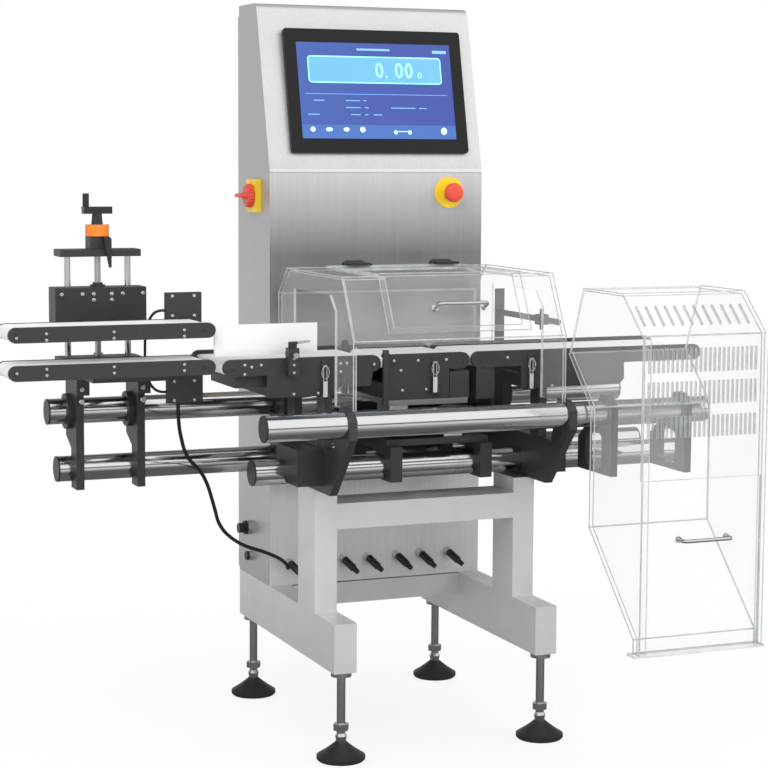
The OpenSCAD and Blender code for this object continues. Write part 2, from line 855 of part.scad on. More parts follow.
// Cross plates on the lower rails and the base plate of the weigh cell
module weigh_support() {
    z1 = low_z + cross_plate_up;
    {
        for (x = cross_plate_xs) difference() {
            box(x, x + cross_plate_t, front_low_y - rail_r - plate_rim * 2, rear_y + rail_r + plate_rim,
                low_z - cross_plate_down, z1);
            rail_bores(x, cross_plate_t, [1, 3]);
            box(x - cut, x + cross_plate_t + cut, front_low_y + rail_r + plate_rim,
                rear_y - rail_r - plate_rim,
                low_z - cross_plate_down - cut, low_z + cross_plate_down);
        }
        box(cross_plate_xs[0], cross_plate_xs[1] + cross_plate_t, front_low_y - rail_r, rear_y + rail_r, z1,
            z1 + base_plate_t);
    }
}

// Bending-beam load cell between the base plate and the carrier plate of the weigh conveyor
module load_cell() {
    z0 = low_z + cross_plate_up + base_plate_t;
    z1 = z0 + cell_step;
    carrier_z = deep_z - carrier_t;
    cy = (line_y0 + line_y1) / 2 + plate_rim;
    cx = cell_x;
    at_base() color(bright) {
        difference() {
            box(cx - cell_l / 2, cx + cell_l / 2, cy - cell_w / 2, cy + cell_w / 2, z1, z1 + cell_h);
            for (s = [-1, 1]) rod_y(cx + s * cell_slot_r, cy - cell_w / 2 - cut, z1 + cell_h / 2, cell_slot_r,
                cell_w + 2 * cut);
            box(cx - cell_slot_r, cx + cell_slot_r, cy - cell_w / 2 - cut, cy + cell_w / 2 + cut,
                z1 + cell_h / 2 - cell_slot_r / 2, z1 + cell_h / 2 + cell_slot_r / 2);
        }
        box(cx + cell_l / 4, cx + cell_l / 2, cy - cell_w / 2, cy + cell_w / 2, z0, z1);
        box(cx - cell_l / 2, cx - cell_l / 4, cy - cell_w / 2, cy + cell_w / 2, z1 + cell_h, carrier_z);
        box(weigh_drop[0][0], carrier_x1, line_y0, line_y1, carrier_z, deep_z);
    }
}

// Infeed supports: plates that hook round the rear rails, with flanges and collars
support_outline = [[support_front, support_foot_z], [support_low_depth, support_foot_z],
    [support_low_depth, support_step_z - support_low_depth / 2], [support_depth, support_step_z],
    [support_depth, lift_base_z], [support_front, lift_base_z]];

module infeed_supports() {
    at_base() color(black) {
        for (x = support_xs) {
            difference() {
                plate_yz(x, support_t, support_outline);
                rail_bores(x, support_t, [2, 3]);
            }
            difference() {
                box(x, x + flange_w, support_front - flange_t, support_front, lift_base_z - flange_h,
                    lift_base_z);
                for (z = [0.25, 0.75]) rod_y(x + flange_w / 2, support_front - flange_t - cut,
                    lift_base_z - flange_h * z, flange_t / 2, flange_t + 2 * cut);
            }
            difference() {
                rod_x(x - collar_t, rear_y, up_z, rail_r + collar_out, collar_t);
                rail_bores(x - collar_t, collar_t, [2]);
            }
            box(x, x + support_t, infeed_y1, support_front - flange_t, lift_base_z - infeed_bracket_t,
                lift_base_z);
        }
    }
}

// Slotted plates hooked over the upper front rail, with the reject box's back wall on their front
bracket_xs = [294, 451];
bracket_t = 14;
bracket_rear_y = -216;
bracket_foot_z = 512;
bracket_step_z = 573;
bracket_hook_z = up_z + rail_r + plate_rim;
window_r = 14;
window_ys = [-297, -261];
window_zs = [536, 574];
bracket_outline = [[box_back, bracket_foot_z], [bracket_rear_y, bracket_foot_z], [bracket_rear_y,
    bracket_step_z],
    [bracket_rear_y - rail_r - plate_rim, up_z - rail_r - belt_side * 2],
    [front_up_y + rail_r, up_z - rail_r + belt_side],
    [front_up_y + rail_r / 2, up_z], [front_up_y + rail_r - cap_t, bracket_hook_z - plate_rim],
    [front_up_y + rail_r / 2, bracket_hook_z], [front_up_y - rail_r / 2, bracket_hook_z],
    [box_back, box_back_z - cut]];

module outfeed_brackets() {
    at_base() color(black) for (x = bracket_xs) difference() {
        plate_yz(x, bracket_t, bracket_outline);
        rail_bores(x, bracket_t, [0]);
        hull() for (y = window_ys, z = window_zs) rod_x(x - cut, y, z, window_r, bracket_t + 2 * cut);
    }
}

// Conveyor side plate with round noses and a deep middle, as an outline in X-Z
module side_plate(x0, x1, deep, y) {
    difference() {
        union() {
            rod_y(x0 + nose_r, y, nose_z, nose_r, plate_t);
            rod_y(x1 - nose_r, y, nose_z, nose_r, plate_t);
            box(x0 + nose_r, x1 - nose_r, y, y + plate_t, nose_z - nose_r, plate_top);
            plate_xz(y, plate_t, deep);
        }
        for (x = [x0 + end_inset, x1 - end_inset]) rod_y(x, y - cut, roller_z, shaft_r + run,
            plate_t + 2 * cut);
    }
}

module slider_bed(x0, x1) {
    box(x0 + end_inset * 2, x1 - end_inset * 2, line_y0 + plate_t, line_y1 - plate_t,
        belt_top - belt_t - gap - bed_t, belt_top - belt_t - gap);
}

module line_frame(x0, x1, deep) {
    side_plate(x0, x1, deep, line_y0);
    side_plate(x0, x1, deep, line_y1 - plate_t);
    slider_bed(x0, x1);
    for (x = [deep[1][0] + plate_t, deep[2][0] - plate_t * 3]) box(x, x + plate_t * 2, line_y0 + plate_t,
        line_y1 - plate_t, deep[1][1], deep[1][1] + plate_t * 3);
}

module latch_base(x) {
    difference() {
        union() {
            box(x - latch_w / 2, x + latch_w / 2, line_y0 - latch_base_t, line_y0,
                latch_pivot_z - latch_ear_r,
                latch_pivot_z + latch_lever_l);
            for (s = [-1, 1]) box(x + s * latch_w / 2 - latch_base_t / 2,
                x + s * latch_w / 2 + latch_base_t / 2,
                line_y0 - latch_base_t * 3, line_y0, latch_pivot_z - latch_ear_r,
                    latch_pivot_z + latch_ear_r);
            box(x - latch_w / 2, x + latch_w / 2, line_y0 - latch_base_t / 2, line_y0,
                latch_hook_z - latch_w, latch_top);
            box(x - latch_base_t / 2, x + latch_base_t / 2, line_y0 - latch_base_t * 2.4, line_y0,
                latch_hook_z - latch_w / 2,
                latch_hook_z);
        }
        rod_x(x - latch_w, line_y0 - latch_base_t * 2, latch_pivot_z, latch_pin_r + run, latch_w * 2);
    }
}

// The spacing conveyor's frame also carries the bracket of the side guide
module spacing_frame() {
    at_base() color(black) {
        line_frame(spacing_x0, spacing_x1, spacing_drop);
        latch_base(latch_xs[0]);
        difference() {
            union() {
                box(guide_block_x, guide_block_x + guide_block_w, line_y0 - guide_block_t, line_y0,
                    plate_top - nose_h, guide_block_top);
            }
            rod_y(guide_block_x + guide_block_w / 2, line_y0 - guide_block_t - cut,
                guide_block_top - guide_rod_drop,
                guide_rod_r + run, guide_block_t + 2 * cut);
            rod_z(guide_block_x + guide_block_w / 2, line_y0 - guide_block_t / 2,
                guide_block_top - lever_stud_r * 2,
                lever_stud_r + run, lever_stud_r * 2 + cut);
        }
    }
}

module weigh_frame() {
    at_base() color(black) {
        line_frame(weigh_x0, weigh_x1, weigh_drop);
        latch_base(latch_xs[1]);
    }
}

module outfeed_frame() {
    at_base() color(black) {
        line_frame(outfeed_x0, outfeed_x1, outfeed_drop);
        latch_base(latch_xs[2]);
    }
}

// Twin-belt side plates: full-round ends and a bed bar between them
module infeed_plates(z) {
    for (y = [infeed_y0, infeed_y1 - plate_t]) difference() {
        union() {
            rod_y(infeed_x0 + infeed_h / 2, y, z, infeed_h / 2, plate_t);
            rod_y(infeed_x1 - infeed_h / 2, y, z, infeed_h / 2, plate_t);
            box(infeed_x0 + infeed_h / 2, infeed_x1 - infeed_h / 2, y, y + plate_t, z - infeed_h / 2,
                z + infeed_h / 2);
        }
        for (x = [infeed_x0 + infeed_idler_out, infeed_x1 - infeed_end]) rod_y(x, y - cut, z,
            shaft_r + run, plate_t + 2 * cut);
    }
    box(infeed_x0 + infeed_end * 2, infeed_x1 - infeed_end * 2, infeed_y0 + plate_t, infeed_y1 - plate_t,
        z - infeed_roller_r, z + infeed_roller_r);
}

module lower_infeed_frame() {
    at_base() color(black) {
        infeed_plates(infeed_low_z);
        box(support_xs[0], support_xs[1] + flange_w, infeed_y1 - plate_t, infeed_y1,
            lift_base_z - infeed_bracket_t,
            infeed_low_z);
    }
}

module upper_infeed_frame() {
    at_base() color(black) {
        infeed_plates(infeed_up_z);
        infeed_motor(upper_motor_x, infeed_up_z + cap_t);
    }
}

// Endless belt: outer and inner stadium, both exact
module belt(x0, x1, y0, y1, z, r) {
    difference() {
        union() {
            rod_y(x0, y0, z, r, y1 - y0);
            rod_y(x1, y0, z, r, y1 - y0);
            box(x0, x1, y0, y1, z - r, z + r);
        }
        rod_y(x0, y0 - cut, z, r - belt_t, y1 - y0 + 2 * cut);
        rod_y(x1, y0 - cut, z, r - belt_t, y1 - y0 + 2 * cut);
        box(x0, x1, y0 - cut, y1 + cut, z - r + belt_t, z + r - belt_t);
    }
}

module line_belt(x0, x1) {
    belt(x0 + end_inset, x1 - end_inset, line_y0 + plate_t + belt_side, line_y1 - plate_t - belt_side,
        roller_z, belt_r);
}

module infeed_belt(z) {
    belt(infeed_x0 + infeed_idler_out, infeed_x1 - infeed_end, infeed_y0 + plate_t + belt_side,
        infeed_y1 - plate_t - belt_side, z, infeed_belt_r);
}

module line_belts() {
    at_base() color("white") {
        line_belt(spacing_x0, spacing_x1);
        line_belt(weigh_x0, weigh_x1);
        line_belt(outfeed_x0, outfeed_x1);
        infeed_belt(infeed_low_z);
    }
}

module upper_infeed_belt() {
    at_base() color("white") infeed_belt(infeed_up_z);
}

// Rollers with their shafts
module roller(x, y0, y1, z, r) {
    at_base() color(steel) {
        rod_y(x, y0 + plate_t + belt_side, z, r, y1 - y0 - 2 * plate_t - 2 * belt_side);
        rod_y(x, y0 + cut, z, shaft_r, y1 - y0 - 2 * cut);
    }
}

module spacing_drive_roller() {
    roller(spacing_x1 - end_inset, line_y0, line_y1, roller_z, roller_r);
}

module spacing_idler_roller() {
    roller(spacing_x0 + end_inset, line_y0, line_y1, roller_z, roller_r);
}

module weigh_drive_roller() {
    roller(weigh_x1 - end_inset, line_y0, line_y1, roller_z, roller_r);
}

module weigh_idler_roller() {
    roller(weigh_x0 + end_inset, line_y0, line_y1, roller_z, roller_r);
}

module outfeed_drive_roller() {
    roller(outfeed_x1 - end_inset, line_y0, line_y1, roller_z, roller_r);
}

module outfeed_idler_roller() {
    roller(outfeed_x0 + end_inset, line_y0, line_y1, roller_z, roller_r);
}

module lower_infeed_drive_roller() {
    roller(infeed_x1 - infeed_end, infeed_y0, infeed_y1, infeed_low_z, infeed_roller_r);
}

module lower_infeed_idler_roller() {
    roller(infeed_x0 + infeed_idler_out, infeed_y0, infeed_y1, infeed_low_z, infeed_roller_r);
}

module upper_infeed_drive_roller() {
    roller(infeed_x1 - infeed_end, infeed_y0, infeed_y1, infeed_up_z, infeed_roller_r);
}

module upper_infeed_idler_roller() {
    roller(infeed_x0 + infeed_idler_out, infeed_y0, infeed_y1, infeed_up_z, infeed_roller_r);
}

// Motor of a twin belt: a square face plate with the smaller motor behind it
module infeed_motor(x, z) {
    box(x, x + motor_w, infeed_y1, infeed_y1 + motor_face_t, z, z + motor_h);
    box(x + motor_body_in, x + motor_w - motor_body_in, infeed_y1 + motor_face_t,
        infeed_y1 + motor_face_t + motor_body_d, z + motor_body_in / 2, z + motor_h - motor_body_in / 2);
}

// Drive boxes of the line and the motor of the lower infeed belt
module conveyor_motors() {
    y0 = line_y0 + belt_side;
    y1 = line_y1 - plate_t * 5;
    at_base() color(black) {
        box(spacing_box_x, spacing_drop[1][0] + plate_t, y0 + plate_t + belt_side * 3, y1,
            spacing_box_z0, spacing_box_z1);
        box(weigh_drop[2][0] + belt_side, weigh_x1, y0, y1, deep_z, deep_z + motor_h - plate_t);
        box(outfeed_box_x, outfeed_box_x + outfeed_box_w, y0, y1, outfeed_box_z0, outfeed_box_z1);
        infeed_motor(lower_motor_x, infeed_low_z - plate_t * 2 - motor_h);
        box(lower_motor_x, lower_motor_x + motor_w, infeed_y1, infeed_y1 + motor_face_t,
            infeed_low_z - plate_t * 2 - cut, infeed_low_z - plate_t);
    }
}

// Lift of the upper belts: guide rods, base block, top plate with the indicator's box
module lift_rods() {
    at_base() color(bright) for (s = [-1, 1])
        rod_z(lift_x + s * rod_span / 2, lift_y, lift_base_z, rod_d / 2, lift_rod_top - cut - lift_base_z);
}

module lift_bores(z, h, play) {
    for (s = [-1, 1]) rod_z(lift_x + s * rod_span / 2, lift_y, z - cut, rod_d / 2 + play, h + 2 * cut);
    rod_z(lift_x, lift_y, z - cut, screw_r + run, h + 2 * cut);
}

module lift_end_plates() {
    y0 = lift_y - lift_plate_d / 2;
    box_z = lift_rod_top + indicator_h;
    at_base() color(black) {
        difference() {
            box(lift_x - lift_plate_w / 2, lift_x + lift_plate_w / 2, y0, y0 + lift_plate_d, lift_base_z,
                lift_base_z + lift_base_h);
            lift_bores(lift_base_z, lift_base_h, seat);
        }
        difference() {
            union() {
                box(lift_x - lift_plate_w / 2, lift_x + lift_plate_w / 2, y0, y0 + lift_plate_d,
                    lift_rod_top - lift_plate_t, lift_rod_top);
                box(lift_x - indicator_w / 2, lift_x + indicator_w / 2, lift_y - indicator_d / 2,
                    lift_y + indicator_d / 2, lift_rod_top, box_z);
            }
            lift_bores(lift_rod_top - lift_plate_t, lift_plate_t - 2 * cut, seat);
            rod_z(lift_x, lift_y, lift_rod_top - cut, screw_r + run, indicator_h + 2 * cut);
            rod_y(lift_x + lock_side, lift_y - indicator_d / 2 - cut, box_z - lock_hub_r,
                lock_stud_r + run, lock_hub_l);
        }
    }
}

module indicator_ring() {
    at_base() color("orange") difference() {
        rod_z(lift_x, lift_y, lift_rod_top + indicator_h, ring_r, ring_h);
        rod_z(lift_x, lift_y, lift_rod_top + indicator_h - cut, screw_r + run, ring_h + 2 * cut);
    }
}

// Carriage with its screw nut and the two arms that reach forward to the upper belts
module lift_carriage() {
    y0 = lift_y - carriage_d / 2;
    at_base() color(black) difference() {
        union() {
            box(lift_x - carriage_w / 2, lift_x + carriage_w / 2, y0, y0 + carriage_d, carriage_z,
                carriage_z + carriage_h);
            rod_z(lift_x, lift_y, carriage_z + carriage_h, screw_nut_r, screw_nut_h / 2);
            rod_z(lift_x, lift_y, carriage_z + carriage_h, screw_nut_neck, screw_nut_h);
            for (x = arm_xs) box(lift_x + x, lift_x + x + arm_w, infeed_y1, y0, carriage_z,
                carriage_z + arm_h);
        }
        lift_bores(carriage_z, carriage_h + screw_nut_h, run);
    }
}

module lift_screw() {
    top = lift_rod_top + indicator_h + ring_h;
    at_base() color(bright) {
        rod_z(lift_x, lift_y, lift_base_z + cap_t, screw_r, top + neck_h - lift_base_z - cap_t);
        rod_z(lift_x, lift_y, lift_base_z + lift_base_h + gap, thrust_r, cap_t * 2);
        translate([lift_x, lift_y, top + gap]) cylinder(r1 = neck_r * 1.2, r2 = neck_r, h = neck_h - gap);
        difference() {
            box(lift_x - arm_l / 2, lift_x + arm_l / 2, lift_y - arm_d / 2, lift_y + arm_d / 2, top + neck_h,
                top + neck_h + arm_t);
            rod_z(lift_x - arm_l / 2 + crank_knob_r, lift_y, top + neck_h + arm_t / 2, lever_stud_r + run,
                arm_t);
        }
    }
}

module crank_knob() {
    z = lift_rod_top + indicator_h + ring_h + neck_h + arm_t;
    at_base() color(black) {
        rod_z(lift_x - arm_l / 2 + crank_knob_r, lift_y, z + gap, crank_knob_r, knob_h);
        rod_z(lift_x - arm_l / 2 + crank_knob_r, lift_y, z - arm_t / 2 + gap, lever_stud_r, knob_h);
    }
}

module lift_lock_lever() {
    x = lift_x + lock_side;
    y = lift_y - indicator_d / 2 - gap;
    z = lift_rod_top + indicator_h - lock_hub_r;
    at_base() color(black) {
        rod_y(x, y - lock_hub_l, z, lock_hub_r, lock_hub_l);
        rod_y(x, y - cut, z, lock_stud_r, lock_hub_l - cut);
        hull() {
            rod_y(x, y - lock_hub_l, z, lock_hub_r, lock_hub_l / 3);
            rod_y(x + lock_hub_r / 2, y - lock_hub_l - cap_t, z - lock_arm_l, lock_stud_r * 0.8,
                lock_hub_l / 3);
        }
    }
}

// Outlines as bands of sheet: unit normal of a segment, and a line shifted by d with mitred corners
function normal(a, b) = let (v = b - a) [v[1], -v[0]] / norm(v);
function shifted(p, d) = let (e = len(p) - 1) [for (i = [0 : e]) let (
    s = normal(p[min(max(i - 1, 0), e - 1)], p[max(i, 1)]) + normal(p[min(i, e - 1)], p[min(i + 1, e)]))
    p[i] + s * (2 * d / (s * s))];
function backwards(p) = [for (i = [len(p) - 1 : -1 : 0]) p[i]];

module band(x0, x1, p, d0, d1) {
    plate_yz(x0, x1 - x0, concat(shifted(p, d0), backwards(shifted(p, d1))));
}

// Clear guard over the weigh conveyor: two end panels joined by folded sheet, open for products
guard_line = [[guard_front_y, guard_knee_z - clear_t * 2], [guard_front_y, guard_knee_z], [guard_top_y0,
    guard_top],
    [guard_top_y1, guard_top], [guard_rear_y, guard_back_knee], [guard_rear_y, guard_foot_z]];
guard_end = concat([[guard_front_y, guard_foot_z]], [for (i = [1 : 5]) guard_line[i]],
    [[opening_y1, guard_foot_z], [opening_y1, opening_top], [opening_y0 + opening_chamfer, opening_top],
    [opening_y0, opening_top - opening_chamfer], [opening_y0, guard_foot_z]]);
lid_line = [guard_line[1] + (guard_line[2] - guard_line[1]) * 0.1, guard_line[2], [lid_edge_y, guard_top]];

module weigh_guard() {
    side = lid_w / 2 - lid_lap;
    at_base() color(clear) {
        for (x = [-guard_half, guard_half - clear_t]) plate_yz(x, clear_t, guard_end);
        for (x = [-guard_half + clear_t, side]) band(x, x + guard_half - clear_t - side, guard_line, 0,
            clear_t);
        band(-side, side, [guard_line[0], guard_line[1],
            lid_line[0] + (guard_line[2] - guard_line[1]) * 0.1], 0, clear_t);
        band(-side, side, [[lid_edge_y - lid_lap, guard_top], guard_line[3], guard_line[4], guard_line[5]],
            0, clear_t);
    }
}

module guard_lid() {
    at_base() color(clear) band(-lid_w / 2, lid_w / 2, lid_line, -gap, -gap - clear_t);
}

// Lid hinges: fixed leaves with their pins, and the leaves that turn with the lid
hinge_z = guard_top + lid_hinge_r + gap;
module lid_hinges() {
    at_base() color(black) for (x = lid_hinge_xs) {
        box(x - lid_hinge_w / 2, x + lid_hinge_w / 2, lid_hinge_r + gap, lid_hinge_leaf, guard_top,
            guard_top + lid_leaf_t);
        for (s = [-1, 1]) rod_x(x + s * lid_hinge_w / 3 - lid_hinge_w / 6, 0, hinge_z, lid_hinge_r,
            lid_hinge_w / 3);
        rod_x(x - lid_hinge_w / 2, 0, hinge_z, lid_pin_r, lid_hinge_w);
        for (s = [-1, 1]) box(x + s * lid_hinge_w / 3 - lid_hinge_w / 6,
            x + s * lid_hinge_w / 3 + lid_hinge_w / 6, 0,
            lid_hinge_r + gap, guard_top, guard_top + lid_leaf_t);
    }
}

module lid_leaves() {
    leaf_z = guard_top + gap + clear_t;
    at_base() color(black) for (x = lid_hinge_xs) difference() {
        union() {
            box(x - lid_hinge_w / 2, x + lid_hinge_w / 2, -lid_hinge_leaf, lid_edge_y, leaf_z,
                leaf_z + lid_leaf_t);
            box(x - lid_hinge_w / 6 + gap, x + lid_hinge_w / 6 - gap, lid_edge_y - cut, 0, leaf_z,
                hinge_z + lid_hinge_r);
            rod_x(x - lid_hinge_w / 6 + gap, 0, hinge_z, lid_hinge_r, lid_hinge_w / 3 - 2 * gap);
        }
        rod_x(x - lid_hinge_w, 0, hinge_z, lid_pin_r + run, lid_hinge_w * 2);
    }
}

// Chrome bow handle: two posts, a bar and round elbows, along X and out along -Y
module bow(l, out) {
    bar_y = -out + bow_r;
    for (s = [-1, 1]) {
        rod_y(s * l / 2, bar_y + bow_bend, 0, bow_r, -bar_y - bow_bend);
        rod_y(s * l / 2, -cap_t, 0, bow_foot_r, cap_t);
        translate([s * (l / 2 - bow_bend), bar_y + bow_bend, 0]) rotate([0, 0, s > 0 ? -90 : 180])
            rotate_extrude(angle = 90) translate([bow_bend, 0]) circle(r = bow_r);
    }
    rod_x(-l / 2 + bow_bend, bar_y, 0, bow_r, l - 2 * bow_bend);
}

module lid_handle() {
    along = guard_line[2] - guard_line[1];
    foot = guard_line[1] + along * 0.46 + shifted([[0, 0], along], -gap - clear_t)[0];
    at_base() color(bright) translate([lid_foot, foot[0], foot[1]]) rotate([-atan(along[0] / along[1]), 0, 0])
        bow(bow_l, bow_out);
}

// Clear reject box, with rows of slots and an open mouth towards the outfeed belt
box_front_line = [[box_front, box_door_top], [box_front, box_slope_z], [box_slope_y, box_top],
    [box_rear_top_y, box_top]];
box_back_line = [[box_neck_y, box_neck_z], [box_back, box_back_z], [box_back, box_back_low],
    [box_foot_y, box_foot_z], [box_foot_y, box_z - cut]];

module box_slots(n, x0, pitch) {
    for (i = [0 : n - 1]) translate([x0 + i * pitch, 0, 0]) children();
}

module reject_box() {
    span = box_w - 2 * slot_margin;
    slope = box_front_line[2] - box_front_line[1];
    at_base() color(clear) {
        for (x = [box_x0, box_x1 - clear_t])
            plate_yz(x, clear_t, concat([[box_front, box_z - cut]], box_front_line, box_back_line));
        difference() {
            band(box_x0 + clear_t, box_x1 - clear_t, box_front_line, 0, clear_t);
            for (row = [0 : 2]) box_slots(slot_n, box_x0 + slot_margin, span / (slot_n - 0.5))
                box(0, slot_w, box_front - cut, box_front + clear_t + cut, slot_tops[row] - slot_hs[row],
                    slot_tops[row]);
            translate([0, box_front, box_slope_z]) rotate([-atan(slope[0] / slope[1]), 0, 0])
                box_slots(slope_slot_n, box_x0 + slot_margin, span / (slope_slot_n - 0.5))
                    box(0, slot_w, -clear_t, clear_t * 3, norm(slope) / 4, norm(slope) / 4 + slope_slot_l);
        }
        band(box_x0 + clear_t, box_x1 - clear_t, box_back_line, 0, clear_t);
        box(box_x0 - plate_t, box_x1 + plate_t, box_front - plate_t, box_foot_y + plate_t, box_z - clear_t,
            box_z);
        for (s = [0, 1]) mirror_box(s) {
            box(box_x0, box_x0 + channel_t, door_y0 - gap - channel_t, box_front, box_z, box_slope_z);
            box(box_x0, box_x0 + channel_w, door_y0 - gap - channel_t, door_y0 - gap, box_z, box_slope_z);
        }
    }
}

module mirror_box(s) {
    translate([s * (box_x0 + box_x1), 0, 0]) mirror([s, 0, 0]) children();
}

module reject_door() {
    at_base() color(clear) box(box_x0 + channel_t + gap, box_x1 - channel_t - gap, door_y0, door_y0 + clear_t,
        box_z, box_door_top);
}

module door_handle() {
    at_base() color(bright) translate([(box_x0 + box_x1) / 2, door_y0,
        (box_z + box_door_top) / 2 + bow_l / 2])
        bow(bow_l, bow_out);
}

// Toggle latch levers with their wire loops, hooked over the catch
module latch_lever(x) {
    side = latch_w / 2 - latch_base_t / 2 - gap;
    y = line_y0 - latch_base_t * 2;
    at_base() color(bright) {
        rod_x(x - side, y, latch_pivot_z, latch_pin_r * 1.4, 2 * side);
        box(x - side, x + side, y - latch_base_t / 2, y + latch_base_t / 3, latch_pivot_z,
            latch_pivot_z + latch_lever_l);
        rod_x(x - latch_w / 2 - latch_base_t / 2, y, latch_pivot_z, latch_pin_r, latch_w + latch_base_t);
        for (s = [-1, 1]) rod_z(x + s * (side - loop_r), y, latch_pivot_z + latch_lever_l / 2, loop_r,
            latch_hook_z + loop_r + gap - latch_pivot_z - latch_lever_l / 2);
        rod_x(x - side, y, latch_hook_z + loop_r + gap, loop_r, 2 * side);
    }
}

module latch_lever_1() {
    latch_lever(latch_xs[0]);
}

module latch_lever_2() {
    latch_lever(latch_xs[1]);
}

module latch_lever_3() {
    latch_lever(latch_xs[2]);
}

// Side guide: panel on a rod that slides in the block, and the lever that clamps it
module side_guide() {
    x = guide_block_x + guide_block_w / 2;
    z = guide_block_top - guide_rod_drop;
    y = line_y0 - guide_block_t - guide_rod_out;
    at_base() color("white") {
        box(guide_x0, guide_x1, guide_y - guide_t, guide_y, guide_z0, guide_z0 + guide_h);
        rod_y(x, y, z, guide_rod_r, guide_y - guide_t - y);
    }
}

module guide_lever() {
    x = guide_block_x + guide_block_w / 2;
    y = line_y0 - guide_block_t / 2;
    at_base() color(black) {
        rod_z(x, y, guide_block_top + gap, lever_hub_r, lever_hub_h);
        rod_z(x, y, guide_block_top - lever_stud_r * 2 + cut, lever_stud_r, lever_stud_r * 2);
        hull() {
            rod_z(x, y, guide_block_top + lever_hub_h * 0.6, lever_hub_r * 0.8, lever_hub_h * 0.4);
            rod_z(x + lever_l, y, guide_block_top + lever_hub_h * 0.9, lever_hub_r * 0.5, lever_hub_h * 0.3);
        }
    }
}

// Light-sensor posts beside the weigh belt, and the air nozzle that blows rejects off the belt
module sensor_posts() {
    z1 = nozzle_z;
    at_base() color(black) {
        for (y = [line_y0 - post_t, line_y1]) {
            box(post_x, post_x + post_w, y, y + post_t, post_z0, post_z1);
            rod_x(post_x - cap_t, y + post_t / 2, post_z1 - post_w, post_t * 0.4, cap_t + post_w + cap_t);
        }
        difference() {
            rod_x(nozzle_x, rear_y, up_z, rail_r + collar_out, nozzle_w);
            rail_bores(nozzle_x, nozzle_w, [2]);
        }
        box(nozzle_x, nozzle_x + nozzle_w, rear_y + plate_rim, rear_y + plate_rim + nozzle_plate_t,
            up_z + rail_r + cap_t, z1 + nozzle_plate_h / 2);
        rod_y(nozzle_x + nozzle_w / 2, nozzle_y, z1, nozzle_rod_r, rear_y + plate_rim - nozzle_y);
        difference() {
            box(nozzle_x, nozzle_x + nozzle_w, nozzle_y + nozzle_w * 3, nozzle_y + nozzle_w * 4,
                z1 - nozzle_w / 2, z1 + nozzle_w / 2);
            rod_y(nozzle_x + nozzle_w / 2, nozzle_y + nozzle_w * 3 - cut, z1, nozzle_rod_r - cut,
                nozzle_w + 2 * cut);
        }
        rod_z(nozzle_x + nozzle_w / 2, nozzle_y + nozzle_w * 3.5, z1 - nozzle_w, nozzle_r, nozzle_w * 2);
    }
}

// Round cable along a route: one tube with eight sides
function along(p, i) = let (a = p[min(i + 1, len(p) - 1)] - p[max(i - 1, 0)]) a / norm(a);
function ring(c, t, d) = let (u = cross(t, abs(t[2]) > 0.9 ? [1, 0, 0] : [0, 0, 1]), a = u / norm(u),
    b = cross(t, a))
    [for (k = [0 : 7]) c + (a * cos(k * 45) + b * sin(k * 45)) * d / 2];

module cable(p, d) {
    n = len(p);
    polyhedron([for (i = [0 : n - 1]) each ring(p[i], along(p, i), d)], concat([[for (k = [7 : -1 : 0]) k]],
        [for (i = [0 : n - 2], k = [0 : 7]) [i * 8 + k, i * 8 + (k + 1) % 8, i * 8 + 8 + (k + 1) % 8,
            i * 8 + 8 + k]],
        [[for (k = [0 : 7]) n * 8 - 8 + k]]));
}

module infeed_cable() {
    at_base() color(black) cable(infeed_route, cable_d);
}

module lift_cable() {
    at_base() color(black) cable(lift_route, cable_thin_d);
}

base_frame();
foot_studs();
foot_pads();
cabinet_shell();
cabinet_door();
door_lock();
control_gear();
screen_bezel();
screen_glass();
switch_plates();
stop_button();
isolator_knob();
cable_connectors();
rails();
rail_end_caps();
side_plates();
load_cell();
infeed_supports();
outfeed_brackets();
spacing_frame();
weigh_frame();
outfeed_frame();
lower_infeed_frame();
upper_infeed_frame();
line_belts();
upper_infeed_belt();
spacing_drive_roller();
spacing_idler_roller();
weigh_drive_roller();
weigh_idler_roller();
outfeed_drive_roller();
outfeed_idler_roller();
lower_infeed_drive_roller();
lower_infeed_idler_roller();
upper_infeed_drive_roller();
upper_infeed_idler_roller();
conveyor_motors();
lift_rods();
lift_end_plates();
indicator_ring();
lift_carriage();
lift_screw();
crank_knob();
lift_lock_lever();
weigh_guard();
guard_lid();
lid_hinges();
lid_leaves();
lid_handle();
reject_box();
reject_door();
door_handle();
latch_lever_1();
latch_lever_2();
latch_lever_3();
side_guide();
guide_lever();
sensor_posts();
infeed_cable();
lift_cable();
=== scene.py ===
import math
import bpy
import numpy as np
from mathutils import Matrix, Vector


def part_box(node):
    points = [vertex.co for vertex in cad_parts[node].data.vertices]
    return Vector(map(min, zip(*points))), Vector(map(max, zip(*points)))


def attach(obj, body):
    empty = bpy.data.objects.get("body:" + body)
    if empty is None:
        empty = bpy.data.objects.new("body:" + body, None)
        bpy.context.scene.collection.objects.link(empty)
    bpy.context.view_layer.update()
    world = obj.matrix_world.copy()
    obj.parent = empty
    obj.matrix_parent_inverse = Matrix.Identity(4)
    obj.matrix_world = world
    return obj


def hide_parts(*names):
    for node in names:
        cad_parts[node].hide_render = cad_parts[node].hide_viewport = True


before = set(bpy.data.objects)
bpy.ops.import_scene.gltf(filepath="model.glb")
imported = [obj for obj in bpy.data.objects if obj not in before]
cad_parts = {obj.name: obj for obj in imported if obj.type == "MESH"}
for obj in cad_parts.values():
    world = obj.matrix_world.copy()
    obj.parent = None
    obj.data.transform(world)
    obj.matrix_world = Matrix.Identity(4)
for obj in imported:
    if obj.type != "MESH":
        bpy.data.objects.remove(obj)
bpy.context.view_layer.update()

# The machine is seen from the left front at chest height, with a long lens about four metres away,
# on a white floor against white.
CAMERA_AT = (-1.4471, -3.6290, 1.1228)
